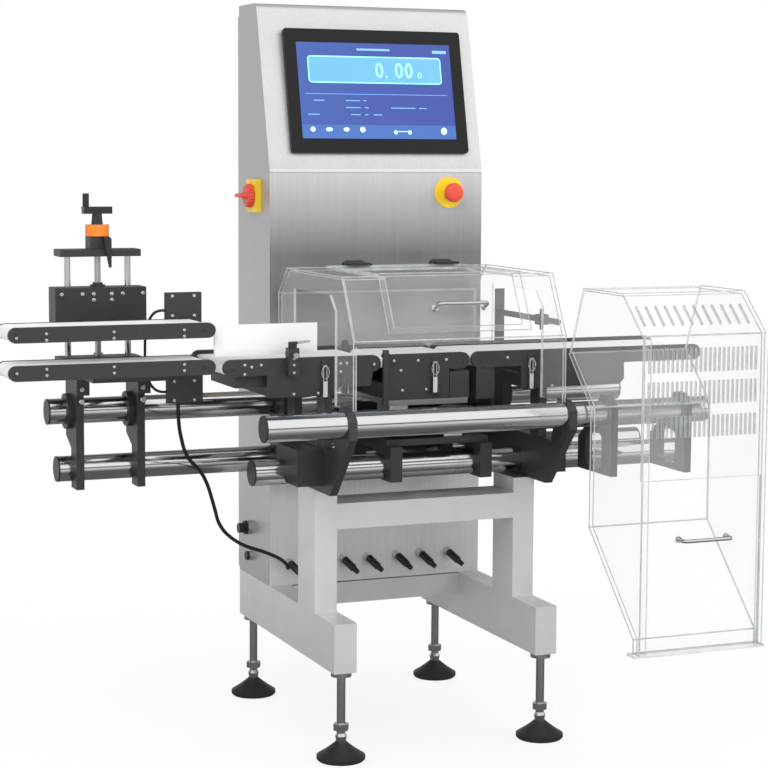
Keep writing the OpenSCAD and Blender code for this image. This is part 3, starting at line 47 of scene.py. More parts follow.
CAMERA_YAW, CAMERA_PITCH, CAMERA_ROLL = 22.26, 6.02, 0.33
PICTURE_SIDE, FOCAL_LENGTH, AXIS_ROW = 768, 2100.2, 366.7
SENSOR_WIDTH = 36.0
camera_data = bpy.data.cameras.new("photo_camera")
camera_data.sensor_width = SENSOR_WIDTH
camera_data.lens = SENSOR_WIDTH * FOCAL_LENGTH / PICTURE_SIDE
camera_data.shift_y = -(PICTURE_SIDE / 2 - AXIS_ROW) / PICTURE_SIDE
camera_data.clip_end = 60.0
camera = bpy.data.objects.new("photo_camera", camera_data)
camera.matrix_world = (
    Matrix.Translation(CAMERA_AT)
    @ Matrix.Rotation(math.radians(-CAMERA_YAW), 4, "Z")
    @ Matrix.Rotation(math.radians(90 - CAMERA_PITCH), 4, "X")
    @ Matrix.Rotation(math.radians(CAMERA_ROLL), 4, "Z"))
bpy.context.scene.collection.objects.link(camera)
bpy.context.scene.camera = camera
bpy.context.scene.view_settings.view_transform = "Standard"

# Two black jacketed motor cables. One drops from the lower infeed motor and sags to the first socket
# under the cabinet, the other loops from the upper motor down to the lower one.
CABLE_DIAMETER, LIFT_CABLE_DIAMETER = 0.007, 0.005
BASE_TO_FRAME = (0.1115, 0.13115, 0.0)
INFEED_ROUTE = [(-461, -84, 661.7), (-461, -84, 640), (-459, -80, 620), (-455, -73, 600),
                (-449, -66, 580), (-442, -60, 560), (-430, -54, 540), (-412, -46, 522),
                (-398, -38, 504), (-386, -28, 482), (-376, -18, 458), (-367, -10, 434),
                (-358, -2, 410), (-342, 8, 388), (-318, 20, 368), (-290, 32, 352),
                (-262, 40, 341), (-236, 46, 330), (-214, 52, 318), (-200, 58, 306), (-194, 64, 296)]
LIFT_ROUTE = [(-494.3, -114, 824), (-503, -114, 824), (-513, -112, 820), (-520, -108, 810),
              (-524, -103, 796), (-526, -98, 776), (-526, -95, 756), (-526, -95, 736),
              (-526, -98, 716), (-524, -103, 702), (-519.5, -108, 690), (-512, -112, 681),
              (-503, -114, 677), (-492.2, -114, 676)]


class Sock:
    """A shader socket in an expression: + - * add Math nodes, and node() adds any other node."""

    def __init__(self, tree, out):
        self.tree, self.out = tree, out

    def node(self, kind, settings=None, out=0, **inputs):
        """Adds a node of one kind and returns its output out, a number or a name.

        The settings are set first, then the sockets by name, with _ for a space, or by i and number.
        """
        made = self.tree.nodes.new(kind)
        for key, value in (settings or {}).items():
            if key == "stops":
                ramp = made.color_ramp.elements
                while len(ramp) < len(value):
                    ramp.new(0.5)
                for element, (place, shade) in zip(ramp, value):
                    element.position = place
                    element.color = (shade, shade, shade, 1.0)
            else:
                setattr(made, key, value)
        for key, value in inputs.items():
            numbered = key[1:].isdigit()
            target = made.inputs[int(key[1:]) if numbered else key.replace("_", " ")]
            if isinstance(value, Sock):
                self.tree.links.new(value.out, target)
            elif isinstance(value, tuple) and len(value) == 3 and target.type == "RGBA":
                target.default_value = (*value, 1.0)
            else:
                target.default_value = value
        return Sock(self.tree, made.outputs[out])

    def maths(self, operation, *values):
        """A Math node on one or two values, which are Socks or numbers."""
        sockets = {f"i{number}": value for number, value in enumerate(values)}
        return self.node("ShaderNodeMath", {"operation": operation}, **sockets)

    def spread(self, low, high, to_low, to_high):
        """The value's range from low to high, stretched to the range from to_low to to_high."""
        return self.node("ShaderNodeMapRange", Value=self, From_Min=low, From_Max=high,
                         To_Min=to_low, To_Max=to_high)

    def __add__(self, other): return self.maths("ADD", self, other)
    def __radd__(self, other): return self.maths("ADD", other, self)
    def __sub__(self, other): return self.maths("SUBTRACT", self, other)
    def __rsub__(self, other): return self.maths("SUBTRACT", other, self)
    def __mul__(self, other): return self.maths("MULTIPLY", self, other)
    def __rmul__(self, other): return self.maths("MULTIPLY", other, self)
    def above(self, level): return self.maths("GREATER_THAN", self, level)
    def below(self, level): return self.maths("LESS_THAN", self, level)
    def larger(self, other): return self.maths("MAXIMUM", self, other)
    def angle(self, other): return self.maths("ARCTAN2", self, other)
    def size(self): return self.maths("ABSOLUTE", self)
    def axis(self, number): return self.node("ShaderNodeSeparateXYZ", None, number, Vector=self)


def finish_named(name):
    """A new material: returns it, its shader node, and the object coordinates as a Sock."""
    made = bpy.data.materials.new(name)
    made.use_nodes = True
    tree = made.node_tree
    place = tree.nodes.new("ShaderNodeTexCoord")
    return made, tree.nodes["Principled BSDF"], Sock(tree, place.outputs["Object"])


def feed(shader, socket, value):
    """Links a Sock to one of the shader's sockets, or sets a plain value on it."""
    if isinstance(value, Sock):
        value.tree.links.new(value.out, shader.inputs[socket])
    elif isinstance(value, tuple):
        shader.inputs[socket].default_value = (*value, 1.0)
    else:
        shader.inputs[socket].default_value = value


def grain(at, scale, stretch=(1.0, 1.0, 1.0), detail=3.0):
    """Noise from 0 to 1, squeezed along each axis by stretch, for brushed, blasted or cast skins."""
    mapped = at.node("ShaderNodeMapping", Vector=at, Scale=stretch)
    return at.node("ShaderNodeTexNoise", Vector=mapped, Scale=scale, Detail=detail)


def in_frame(points):
    """Points in the frame's metres, from millimetres measured at the middle of the base."""
    return np.array(points, float) / 1000 + np.array(BASE_TO_FRAME)


def smooth(points, parts=6):
    """The same route with Catmull-Rom curves between its points."""
    p = np.vstack([2 * points[0] - points[1], points, 2 * points[-1] - points[-2]])
    t = np.linspace(0, 1, parts, endpoint=False)[:, None]
    spans = [0.5 * ((2 * b) + (c - a) * t + (2 * a - 5 * b + 4 * c - d) * t**2
                    + (3 * b - a - 3 * c + d) * t**3)
             for a, b, c, d in zip(p, p[1:], p[2:], p[3:])]
    return np.vstack(spans + [points[-1:]])


def cable(name, points, diameter):
    """A round tube swept along the route by a curve's bevel."""
    curve = bpy.data.curves.new(name, "CURVE")
    curve.dimensions = "3D"
    curve.bevel_depth = diameter / 2
    curve.bevel_resolution = 5
    curve.use_fill_caps = True
    spline = curve.splines.new("POLY")
    spline.points.add(len(points) - 1)
    spline.points.foreach_set("co", np.c_[points, np.ones(len(points))].ravel())
    made = bpy.data.objects.new(name, curve)
    bpy.context.scene.collection.objects.link(made)
    return made


jacket, shader, at = finish_named("cable_jacket")
feed(shader, "Base Color", (0.012, 0.012, 0.013))
feed(shader, "Roughness", grain(at, 900) * 0.15 + 0.38)
for name, route, diameter in (("infeed_cable", INFEED_ROUTE, CABLE_DIAMETER),
                              ("lift_cable", LIFT_ROUTE, LIFT_CABLE_DIAMETER)):
    points = smooth(in_frame(route))
    lead = cable(name + "_jacket", points, diameter)
    lead.data.materials.append(jacket)
    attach(lead, "stand")
    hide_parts(name)

# The stand is welded from square stainless tube: two floor beams, two uprights and cross members. Its
# skin is glass-bead blasted, a satin grey.
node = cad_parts


def two_tone(at, mask, low, high):
    """A colour that goes from low to high with a mask from 0 to 1."""
    return at.node("ShaderNodeMix", {"data_type": "RGBA"}, 2, Factor=mask, i6=low, i7=high)


def dress(names, material):
    """Gives each named CAD node this finish."""
    for name in names:
        mesh = node[name].data
        mesh.materials.clear()
        mesh.materials.append(material)


blasted, shader, at = finish_named("blasted_stainless")
cloud = grain(at, 9, detail=4)
feed(shader, "Metallic", 0.45)
feed(shader, "Base Color", two_tone(at, cloud, (0.60, 0.60, 0.61), (0.74, 0.74, 0.75)))
feed(shader, "Roughness", grain(at, 300) * 0.12 + 0.34)
feed(shader, "Normal", at.node("ShaderNodeBump", Strength=0.06, Distance=0.001, Height=grain(at, 1500)))
dress(["base_frame"], blasted)

# Cabinet shell and door are folded from stainless sheet brushed from top to bottom. Painted shade darkens the
# front most behind the guard, less above and below it, and more on the slope above the bend. The sides and
# back carry an even painted shade, and a painted highlight runs along the rim of the bend.
BEND_HEIGHT, BEND_HIGHLIGHT_HALF_WIDTH = 0.258 + 0.815, 0.003
PAINTED_SHADE_DARKEST_HEIGHT, SLOPE_PAINTED_SHADE, SIDE_PAINTED_SHADE = 0.86, 0.22, 0.56
brushed, shader, at = finish_named("brushed_sheet_painted_shade")
strokes = grain(at, 420, (1.0, 1.0, 0.012), 3)
waves = grain(at, 14, (1.0, 1.0, 0.08), 2)
tall = at.axis(2)
# The rim is a painted highlight along the bend on the front faces. The shade below is painted shade: darkest
# behind the guard, deeper on the slope, and even on the sides and back.
rim = (tall - BEND_HEIGHT).size().below(BEND_HIGHLIGHT_HALF_WIDTH)
feed(shader, "Metallic", 0.5)
middle = (tall - PAINTED_SHADE_DARKEST_HEIGHT).size().spread(0.05, 0.24, 0.30, 1.0)
front = at.node("ShaderNodeNewGeometry", None, "Normal").axis(1).below(-0.5)
slope_painted_dimming = tall.above(BEND_HEIGHT) * SLOPE_PAINTED_SHADE
steel = two_tone(at, strokes * 0.6 + waves * 0.25 + rim * front, (0.62, 0.62, 0.63), (0.92, 0.92, 0.93))
shade = front * middle * (1.0 - slope_painted_dimming) + (1.0 - front) * SIDE_PAINTED_SHADE
feed(shader, "Base Color", at.node("ShaderNodeVectorMath", {"operation": "SCALE"}, i0=steel, Scale=shade))
feed(shader, "Roughness", strokes * 0.18 + 0.24)
feed(shader, "Normal", at.node("ShaderNodeBump", Strength=0.08, Distance=0.0004, Height=strokes))
dress(["cabinet_shell", "cabinet_door"], brushed)

# Rails are polished stainless tube in the side plates' clamps. The lift's rods, the bow handles and
# the latches' levers are as bright.
polished, shader, at = finish_named("polished_tube")
streaks = grain(at, 30, (0.2, 25.0, 25.0), 2)
feed(shader, "Metallic", 1.0)
feed(shader, "Base Color", two_tone(at, streaks, (0.58, 0.58, 0.59), (0.70, 0.70, 0.71)))
feed(shader, "Roughness", streaks * 0.08 + 0.10)
dress(["rails", "lift_rods", "lid_handle", "door_handle"], polished)
dress([f"latch_lever_{number}" for number in (1, 2, 3)], polished)

# The feet's threaded studs, the door lock and the load cell are turned or milled steel, duller than
# the rails.
turned, shader, at = finish_named("turned_steel")
rings = grain(at, 400, (1, 1, 6))
feed(shader, "Metallic", 1.0)
feed(shader, "Base Color", two_tone(at, rings, (0.56, 0.56, 0.57), (0.68, 0.68, 0.69)))
feed(shader, "Roughness", rings * 0.15 + 0.22)
dress(["foot_studs", "door_lock", "load_cell"], turned)

# Rollers are turned aluminium, with black end caps that show through the frames' plates. They turn
# about Y, so the ends are the faces along Y.
roller, shader, at = finish_named("roller_aluminium")
end_face = at.node("ShaderNodeNewGeometry", None, "Normal").axis(1).size().above(0.9)
lathe = grain(at, 400, (1, 6, 1))
feed(shader, "Metallic", 1.0 - end_face)
feed(shader, "Base Color", two_tone(at, end_face, (0.66, 0.66, 0.67), (0.025, 0.025, 0.027)))
feed(shader, "Roughness", lathe * 0.15 + 0.24)
dress([name for name in node if name.endswith("_roller")], roller)

# The lift's screw is bright below the top plate, and its crank arm and neck are black above it. All of
# it turns as one.
CRANK_FOOT = 0.9745
screw, shader, at = finish_named("lift_screw_steel")
crank = at.axis(2).above(CRANK_FOOT)
feed(shader, "Metallic", 1.0 - crank)
feed(shader, "Base Color", two_tone(at, crank, (0.60, 0.60, 0.61), (0.020, 0.020, 0.022)))
feed(shader, "Roughness", grain(at, 500) * 0.15 + 0.25)
dress(["lift_screw"], screw)

# Plates, blocks and frames are aluminium with a fine, matt black anodised skin, screwed to each other
# and clamped on the rails. The motor boxes match them.
anodised, shader, at = finish_named("black_anodised")
speckle = grain(at, 500)
feed(shader, "Base Color", two_tone(at, speckle, (0.020, 0.020, 0.022), (0.042, 0.042, 0.045)))
feed(shader, "Roughness", speckle * 0.15 + 0.40)
dress(["side_plates", "infeed_supports", "outfeed_brackets", "spacing_frame", "weigh_frame", "outfeed_frame",
       "lower_infeed_frame", "upper_infeed_frame", "conveyor_motors", "lift_end_plates", "lift_carriage",
       "sensor_posts"], anodised)

# Black mouldings are the rails' end caps, the crank's knob, the lift's lock lever and the blocks and
# leaves of the lid's hinges. The feet's pads are black rubber.
moulded, shader, at = finish_named("black_moulding")
feed(shader, "Base Color", (0.018, 0.018, 0.019))
feed(shader, "Roughness", grain(at, 700) * 0.2 + 0.35)
dress(["rail_end_caps", "crank_knob", "lift_lock_lever", "lid_hinges", "lid_leaves", "foot_pads"], moulded)

# The screen's bezel is a smooth near-black casting with rounded corners, set on the sloped front of
# the cabinet.
bezel, shader, at = finish_named("bezel_black")
feed(shader, "Base Color", (0.008, 0.008, 0.009))
feed(shader, "Roughness", grain(at, 800) * 0.15 + 0.32)
feed(shader, "Specular IOR Level", 0.25)
dress(["screen_bezel"], bezel)

# The plugs are black with a nickel collar next to the cabinet's sheet: a row at the front and two at
# the side.
CABINET_SIDE, CABINET_FRONT = BASE_TO_FRAME[0] - 0.225, BASE_TO_FRAME[1] + 0.085
COLLAR = 0.006
plugs, shader, at = finish_named("plug_black_and_nickel")
off_side, off_front = at.axis(0) - CABINET_SIDE, at.axis(1) - CABINET_FRONT
side_collar = off_side.above(-COLLAR) * off_side.below(0.001)
collar = side_collar.larger((off_front + COLLAR).size().below(COLLAR))
feed(shader, "Metallic", collar)
feed(shader, "Base Color", two_tone(at, collar, (0.018, 0.018, 0.019), (0.70, 0.70, 0.71)))
feed(shader, "Roughness", grain(at, 700) * 0.2 + 0.30)
dress(["cable_connectors"], plugs)

# The lid's hinges have thick black moulded covers with a crowned back, one half on the guard and one
# on the lid.
HINGE_MIDDLES, HINGE_HALF_LENGTH = (-77, 106), 23


def ring_quads(rings, count, first=0, closed=True, wraps=False):
    """Quads between rings of count points from number first: wraps joins the last ring to the first."""
    pairs = [(r, (r + 1) % rings) for r in range(rings if wraps else rings - 1)]
    return [tuple(first + corner for corner in (r * count + k, r * count + (k + 1) % count,
                                                s * count + (k + 1) % count, s * count + k))
            for r, s in pairs for k in range(count if closed else count - 1)]


def mesh_object(name, points, faces, *materials):
    """A new object with these corners, faces and materials, in the scene."""
    mesh = bpy.data.meshes.new(name)
    mesh.from_pydata([tuple(p) for p in points], [], faces)
    for material in materials:
        mesh.materials.append(material)
    made = bpy.data.objects.new(name, mesh)
    bpy.context.scene.collection.objects.link(made)
    return made


def hinge_half(name, body, y0, y1, foot, height):
    """A bar along X per hinge: rise = height (1 - 0.35 |s|^8) (1 - (2v - 1)^4), s along, v across."""
    across, along, points, faces = 13, 9, [], []
    for x in HINGE_MIDDLES:
        first = len(points)
        for s in np.linspace(-1, 1, along):
            ends = 1 - 0.35 * abs(s) ** 8
            points += [(x + s * HINGE_HALF_LENGTH, y0 + (y1 - y0) * v,
                        foot + height * ends * (1 - (2 * v - 1) ** 4)) for v in np.linspace(0, 1, across)]
        faces += ring_quads(along, across, first, closed=False)
        faces.append(tuple(first + k for k in reversed(range(across))))
        faces.append(tuple(range(len(points) - across, len(points))))
    made = mesh_object(name, in_frame(points), faces, moulded)
    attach(made, body)


hinge_half("hinge_cover_rear", "stand", 9.5, 21.5, 890.6, 11)
hinge_half("hinge_cover_front", "lid", -21, -5.5, 895.6, 3)

# Belts are smooth white food-grade bands, stretched over the frames' slider beds by the rollers at
# both ends.
belt, shader, at = finish_named("white_belt")
weave = grain(at, 1200)
feed(shader, "Base Color", two_tone(at, weave, (0.74, 0.75, 0.75), (0.82, 0.83, 0.83)))
feed(shader, "Roughness", 0.55)
dress(["line_belts", "upper_infeed_belt"], belt)

# The side guide is a white sheet on a bright rod, and its clamp lever has a black hub and a steel arm.
GUIDE_FACE, LEVER_HUB = BASE_TO_FRAME[1] - 0.1985, BASE_TO_FRAME[0] - 0.282
guide, shader, at = finish_named("guide_white")
rod = at.axis(1).below(GUIDE_FACE)
feed(shader, "Metallic", rod)
feed(shader, "Base Color", two_tone(at, rod, (0.80, 0.81, 0.81), (0.55, 0.55, 0.56)))
feed(shader, "Roughness", grain(at, 300) * 0.15 + 0.35)
dress(["side_guide"], guide)
lever, shader, at = finish_named("guide_lever_steel")
arm = at.axis(0).above(LEVER_HUB)
feed(shader, "Metallic", arm)
feed(shader, "Base Color", two_tone(at, arm, (0.020, 0.020, 0.021), (0.60, 0.60, 0.61)))
feed(shader, "Roughness", grain(at, 500) * 0.15 + 0.30)
dress(["guide_lever"], lever)

# Coloured mouldings: the red stop button, the yellow plates of the two switches, the orange ring of
# the lift's indicator, and the grey housings inside the cabinet.
for name, shade, piece in (("red_moulding", (0.72, 0.075, 0.045), "stop_button"),
                           ("yellow_moulding", (0.85, 0.60, 0.02), "switch_plates"),
                           ("orange_moulding", (0.90, 0.24, 0.02), "indicator_ring"),
                           ("grey_moulding", (0.45, 0.46, 0.47), "control_gear")):
    coloured, shader, at = finish_named(name)
    feed(shader, "Base Color", shade)
    feed(shader, "Roughness", grain(at, 600) * 0.15 + 0.28)
    dress([piece], coloured)

# The isolator's red moulded knob is a ribbed disc with a tapered grip across it, on a shaft through
# the cabinet's side.
KNOB_MIDDLE = (0.0, 169.0, 1023.0)
KNOB_RINGS = [(-183, 4.0), (-231, 4.0), (-234.4, 21.0), (-236, 23.0), (-244, 22.0), (-246.5, 19.5),
              (-247, 9.0)]
KNOB_GRIP = [(-245.5, 20.5, 6.5), (-250, 20.0, 5.0), (-258, 18.5, 4.0), (-262, 17.0, 3.4), (-264, 14.5, 2.0)]
RIBS, RIB_DEPTH, RIBBED_FROM = 24, 0.7, 20.9


def rounded(u0, v0, u1, v1, r):
    """A rectangle's outline with quarter circles of radius r at its corners."""
    return [(cu + r * math.cos(a), cv + r * math.sin(a)) for cu, cv, start in
            ((u1 - r, v0 + r, -90), (u1 - r, v1 - r, 0), (u0 + r, v1 - r, 90), (u0 + r, v0 + r, 180))
            for a in np.radians(np.linspace(start, start + 90, 6))]


def isolator_knob():
    """KNOB_RINGS (x, r) turned about X with r + 0.7 cos 24a on the rim, and KNOB_GRIP lofted outwards."""
    count, points = 96, []
    turn = np.linspace(0, 2 * math.pi, count, endpoint=False)
    for x, r in KNOB_RINGS:
        rib = RIB_DEPTH * np.cos(RIBS * turn) * (r > RIBBED_FROM)
        points += [(x, (r + d) * math.cos(a), (r + d) * math.sin(a)) for a, d in zip(turn, rib)]
    faces = ring_quads(len(KNOB_RINGS), count)
    faces.append(tuple(reversed(range(count))))
    faces.append(tuple(range(len(points) - count, len(points))))
    first = len(points)
    for x, half_length, half_thickness in KNOB_GRIP:
        outline = rounded(-half_length, -half_thickness, half_length, half_thickness, half_thickness * 0.8)
        points += [(x, y, z) for y, z in outline]
    faces += ring_quads(len(KNOB_GRIP), len(outline), first)
    faces.append(tuple(range(len(points) - len(outline), len(points))))
    made = mesh_object("isolator_grip", in_frame(np.array(points) + KNOB_MIDDLE), faces,
                       bpy.data.materials["red_moulding"])
    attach(made, "isolator_knob")
    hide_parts("isolator_knob")


isolator_knob()

# The screen is lit blue behind flat glass, darker towards the right and paler in the bottom bar. Its
# reading, frame, rows and icons are thin lit shapes on the glass.
BAR_TOP, LEFT_EDGE, LOSS_PER_METRE = 1.162, -0.05, 2.2
GLASS_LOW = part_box("screen_glass")[0]
GLASS_THICKNESS, GLASS_LEAN = 2.0, math.atan(74 / 324)
PANEL_LIFT, SHAPE_LIFT = 0.3, 0.5
lit, shader, at = finish_named("lit_screen")
bands = grain(at, 5, (1.0, 1.0, 2.0), 1)
low_bar = at.axis(2).below(BAR_TOP)
feed(shader, "Base Color", (0.01, 0.02, 0.06))
feed(shader, "Roughness", bands * 0.05 + 0.10)
loss = (at.axis(0) - LEFT_EDGE) * LOSS_PER_METRE + bands * 0.5
blue = two_tone(at, loss, (0.045, 0.12, 0.42), (0.035, 0.055, 0.34))
feed(shader, "Emission Color", two_tone(at, low_bar * 0.6, blue, (0.07, 0.22, 0.62)))
feed(shader, "Emission Strength", 1.0)
dress(["screen_glass"], lit)


def on_glass(u, v, lift):
    """Point of the leaning glass: u mm from its left edge, v mm up from its foot, lift mm in front."""
    tilt, rise = math.sin(GLASS_LEAN), math.cos(GLASS_LEAN)
    return (GLASS_LOW[0] + u / 1000,
            GLASS_LOW[1] + (v * tilt - lift * rise) / 1000,
            GLASS_LOW[2] + (GLASS_THICKNESS * tilt + v * rise + lift * tilt) / 1000)


def bar(u0, v0, u1, v1):
    return [(u0, v0), (u1, v0), (u1, v1), (u0, v1)]


def ellipse(cu, cv, ru, rv):
    turn = np.linspace(0, 2 * math.pi, 28, endpoint=False)
    return [(cu + ru * math.cos(a), cv + rv * math.sin(a)) for a in turn]


def strip_loop(loop, width):
    """A flat closed line round the loop: point +- width / 2 across the line through its neighbours."""
    p = np.array(loop, float)
    side = np.roll(p, -1, 0) - np.roll(p, 1, 0)
    side /= np.linalg.norm(side, axis=1)[:, None]
    out = np.c_[side[:, 1], -side[:, 0]] * width / 2
    return np.vstack([p + out, p - out]), ring_quads(2, len(p))


def lit_shapes(name, shade, power, lift, solids, loops=()):
    """Lit shapes lift mm in front of the glass: filled outlines, and closed lines of (points, width)."""
    glow, shader, at = finish_named(name)
    soft = grain(at, 30, detail=1)
    feed(shader, "Base Color", shade)
    feed(shader, "Emission Color", two_tone(at, soft, tuple(0.8 * c for c in shade), shade))
    feed(shader, "Emission Strength", power)
    points, faces = [], []
    for outline in solids:
        faces.append(tuple(range(len(points), len(points) + len(outline))))
        points += outline
    for loop, width in loops:
        strip, quads = strip_loop(loop, width)
        faces += [tuple(i + len(points) for i in quad) for quad in quads]
        points += [tuple(q) for q in strip]
    made = mesh_object(name, [on_glass(u, v, lift) for u, v in points], faces, glow)
    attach(made, "stand")


PANEL = rounded(22, 112, 303, 164, 6)
DIGITS = [(ellipse(u, 138, 6, 13), 4.2) for u in (171, 213, 234)] + [(ellipse(257, 129, 3.6, 4.6), 1.8)]
ROWS = ((75, ((28, 22), (95, 30), (132, 6))),
        (61, ((95, 30), (134, 8), (190, 52), (250, 16))),
        (47, ((14, 24), (104, 20), (134, 6), (152, 18))))
lit_shapes("screen_panel", (0.09, 0.27, 0.62), 1.0, PANEL_LIFT, [PANEL])
lit_shapes("screen_frame", (0.22, 0.62, 0.95), 1.0, SHAPE_LIFT, [], [(PANEL, 2.6)])
lit_shapes("screen_reading", (0.25, 0.80, 0.98), 1.0, SHAPE_LIFT, [ellipse(186, 125, 2.2, 2.2)], DIGITS)
lit_shapes("screen_rows", (0.16, 0.36, 0.85), 0.9, SHAPE_LIFT,
           [bar(u, v, u + w, v + 1.6) for v, cells in ROWS for u, w in cells]
           + [bar(12, 88.4, 314, 89.2), bar(126, 177, 196, 181), bar(288, 174, 318, 180)])
lit_shapes("screen_icons", (0.42, 0.88, 0.98), 1.0, SHAPE_LIFT,
           [ellipse(22, 18, 5, 5), ellipse(56, 18, 7, 4), ellipse(92, 18, 6, 4), ellipse(126, 18, 5.5, 5.5),
            ellipse(196, 13, 4, 4), ellipse(226, 13, 4, 4), bar(199, 14, 223, 15.4),
            ellipse(300, 16, 6.5, 7)])

# Guard, lid, reject box and its door are clear acrylic sheet with flame-polished cut faces. The narrow cut
# faces of each sheet, and thin bars laid along its bends, are painted grey to pale and mostly opaque. This is
# a painted reflection of the light that the edges and bends carry, so they stand out as lines round the clear
# faces.
clear, shader, at = finish_named("clear_acrylic")
haze = grain(at, 6, detail=2)
feed(shader, "Base Color", (0.80, 0.82, 0.83))
feed(shader, "Roughness", haze * 0.03 + 0.03)
feed(shader, "Alpha", haze * 0.05 + 0.055)
# The rim finish is a painted reflection: grey to pale patches, mostly opaque, in place of the light that the
# cut faces carry.
rim_painted_reflection, shader, at = finish_named("acrylic_rim_painted_reflection")
painted_glint = grain(at, 40, detail=3)
feed(shader, "Base Color", two_tone(at, painted_glint, (0.34, 0.37, 0.38), (0.74, 0.77, 0.78)))
feed(shader, "Roughness", painted_glint * 0.10 + 0.10)
feed(shader, "Alpha", painted_glint * 0.25 + 0.60)
RIM_WIDTH, CREASE, CREASE_SHORTEST = 0.008, 0.0016, 0.02
PLACES_PER_METRE, NORMAL_STEPS, PLANE_STEPS = 1e5, 50, 2000
BAR_FACES = ((0, 1, 5, 4), (1, 2, 6, 5), (2, 3, 7, 6), (3, 0, 4, 7), (3, 2, 1, 0), (4, 5, 6, 7))


def flat_groups(corners):
    """Numbers the triangles by plane: a triangle's plane is its unit normal n and n . corner, rounded."""
    across = np.cross(corners[:, 1] - corners[:, 0], corners[:, 2] - corners[:, 0])
    twice = np.linalg.norm(across, axis=1)
    normal = across / np.maximum(twice, 1e-12)[:, None]
    offset = (normal * corners[:, 0]).sum(1)
    keys = np.round(np.c_[normal * NORMAL_STEPS, offset * PLANE_STEPS]).astype(int)
    return np.unique(keys, axis=0, return_inverse=True)[1].ravel(), twice / 2


def crease_bars(place, group):
    """A bar CREASE thick along each long edge where two faces meet, carrying the bend's painted reflection:
    corner = end + (+-a +-b) CREASE / 2.
    """
    planes_at = {}
    for triangle, number in zip(np.round(place * PLACES_PER_METRE).astype(int), group):
        for k in range(3):
            ends = tuple(sorted((tuple(triangle[k]), tuple(triangle[(k + 1) % 3]))))
            planes_at.setdefault(ends, set()).add(int(number))
    points, faces = [], []
    for (p, q), numbers in planes_at.items():
        a, b = np.array(p) / PLACES_PER_METRE, np.array(q) / PLACES_PER_METRE
        length = np.linalg.norm(b - a)
        if len(numbers) < 2 or length < CREASE_SHORTEST:
            continue
        along = (b - a) / length
        side = np.cross(along, (0.0, 0.0, 1.0) if abs(along[2]) < 0.9 else (1.0, 0.0, 0.0))
        side /= np.linalg.norm(side)
        up = np.cross(along, side)
        first = len(points)
        points += [tuple(end + (s * side + h * up) * CREASE / 2)
                   for end in (a, b) for s, h in ((-1, -1), (1, -1), (1, 1), (-1, 1))]
        faces += [tuple(first + i for i in face) for face in BAR_FACES]
    return points, faces


def sheet_with_rims(name, body):
    """The clear sheet of a node: a plane's faces are rim where its area / its longest extent < RIM_WIDTH."""
    source = node[name].data
    source.calc_loop_triangles()
    points = np.empty(len(source.vertices) * 3)
    source.vertices.foreach_get("co", points)
    points = points.reshape(-1, 3)
    corners = np.empty(len(source.loop_triangles) * 3, int)
    source.loop_triangles.foreach_get("vertices", corners)
    corners = corners.reshape(-1, 3)
    place = points[corners]
    group, area = flat_groups(place)
    is_rim = np.zeros(len(corners), bool)
    for number in range(group.max() + 1):
        members = group == number
        reach = np.linalg.norm(np.ptp(place[members].reshape(-1, 3), axis=0))
        is_rim[members] = area[members].sum() / max(reach, 1e-6) < RIM_WIDTH
    # Bars along the bends carry a painted reflection line.
    bars, bar_faces = crease_bars(place[~is_rim], group[~is_rim])
    faces = corners.tolist() + [tuple(i + len(points) for i in face) for face in bar_faces]
    made = mesh_object(name + "_sheet", [*points, *bars], faces, clear, rim_painted_reflection)
    slots = np.r_[is_rim, np.ones(len(bar_faces), bool)].astype(np.int32)
    made.data.polygons.foreach_set("material_index", slots)
    made.data.update()
    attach(made, body)
    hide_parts(name)


for name, body in (("weigh_guard", "stand"), ("guard_lid", "lid"), ("reject_box", "stand"),
                   ("reject_door", "reject_door")):
    sheet_with_rims(name, body)

# Each toggle latch pulls its wire loop over a catch. The loop is bright steel wire, bent to an oval
# and hung in the lever.
LATCH_PLACES = (-226.5, -9.5, 189)
LOOP_HALF_WIDTH, LOOP_HALF_HEIGHT, LOOP_DEPTH, LOOP_HEIGHT = 7, 11, -227, 713


def latch_loop(name, body, x):
    """A 2 mm wire: tube radius 1 round (x + 7 sin a, -227, 713 + 11 cos a)."""
    steps, sides = 40, 8
    points = [(x + (LOOP_HALF_WIDTH + math.cos(b)) * math.sin(a), LOOP_DEPTH + math.sin(b),
               LOOP_HEIGHT + (LOOP_HALF_HEIGHT + math.cos(b)) * math.cos(a))
              for a in np.linspace(0, 2 * math.pi, steps, endpoint=False)
              for b in np.linspace(0, 2 * math.pi, sides, endpoint=False)]
    made = mesh_object(name, in_frame(points), ring_quads(steps, sides, wraps=True), polished)
    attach(made, body)


for number, x in enumerate(LATCH_PLACES, 1):
    latch_loop(f"latch_loop_{number}", f"latch_{number}", x)

# Zinc-plated socket screws with domed heads hold the frames, guide block, supports, lift and motors.
# Their heads face the front.
screw_zinc, shader, at = finish_named("screw_zinc")
plating = grain(at, 700)
feed(shader, "Metallic", 1.0)
feed(shader, "Base Color", two_tone(at, plating, (0.62, 0.62, 0.63), (0.80, 0.80, 0.81)))
feed(shader, "Roughness", plating * 0.12 + 0.20)
HEAD_PROFILE = [(1.0, 0.0), (1.0, 0.12), (0.92, 0.32), (0.72, 0.50), (0.46, 0.58), (0.42, 0.56), (0.40, 0.20)]
SOCKET_FLOOR, HEAD_SIDES = 0.20, 18


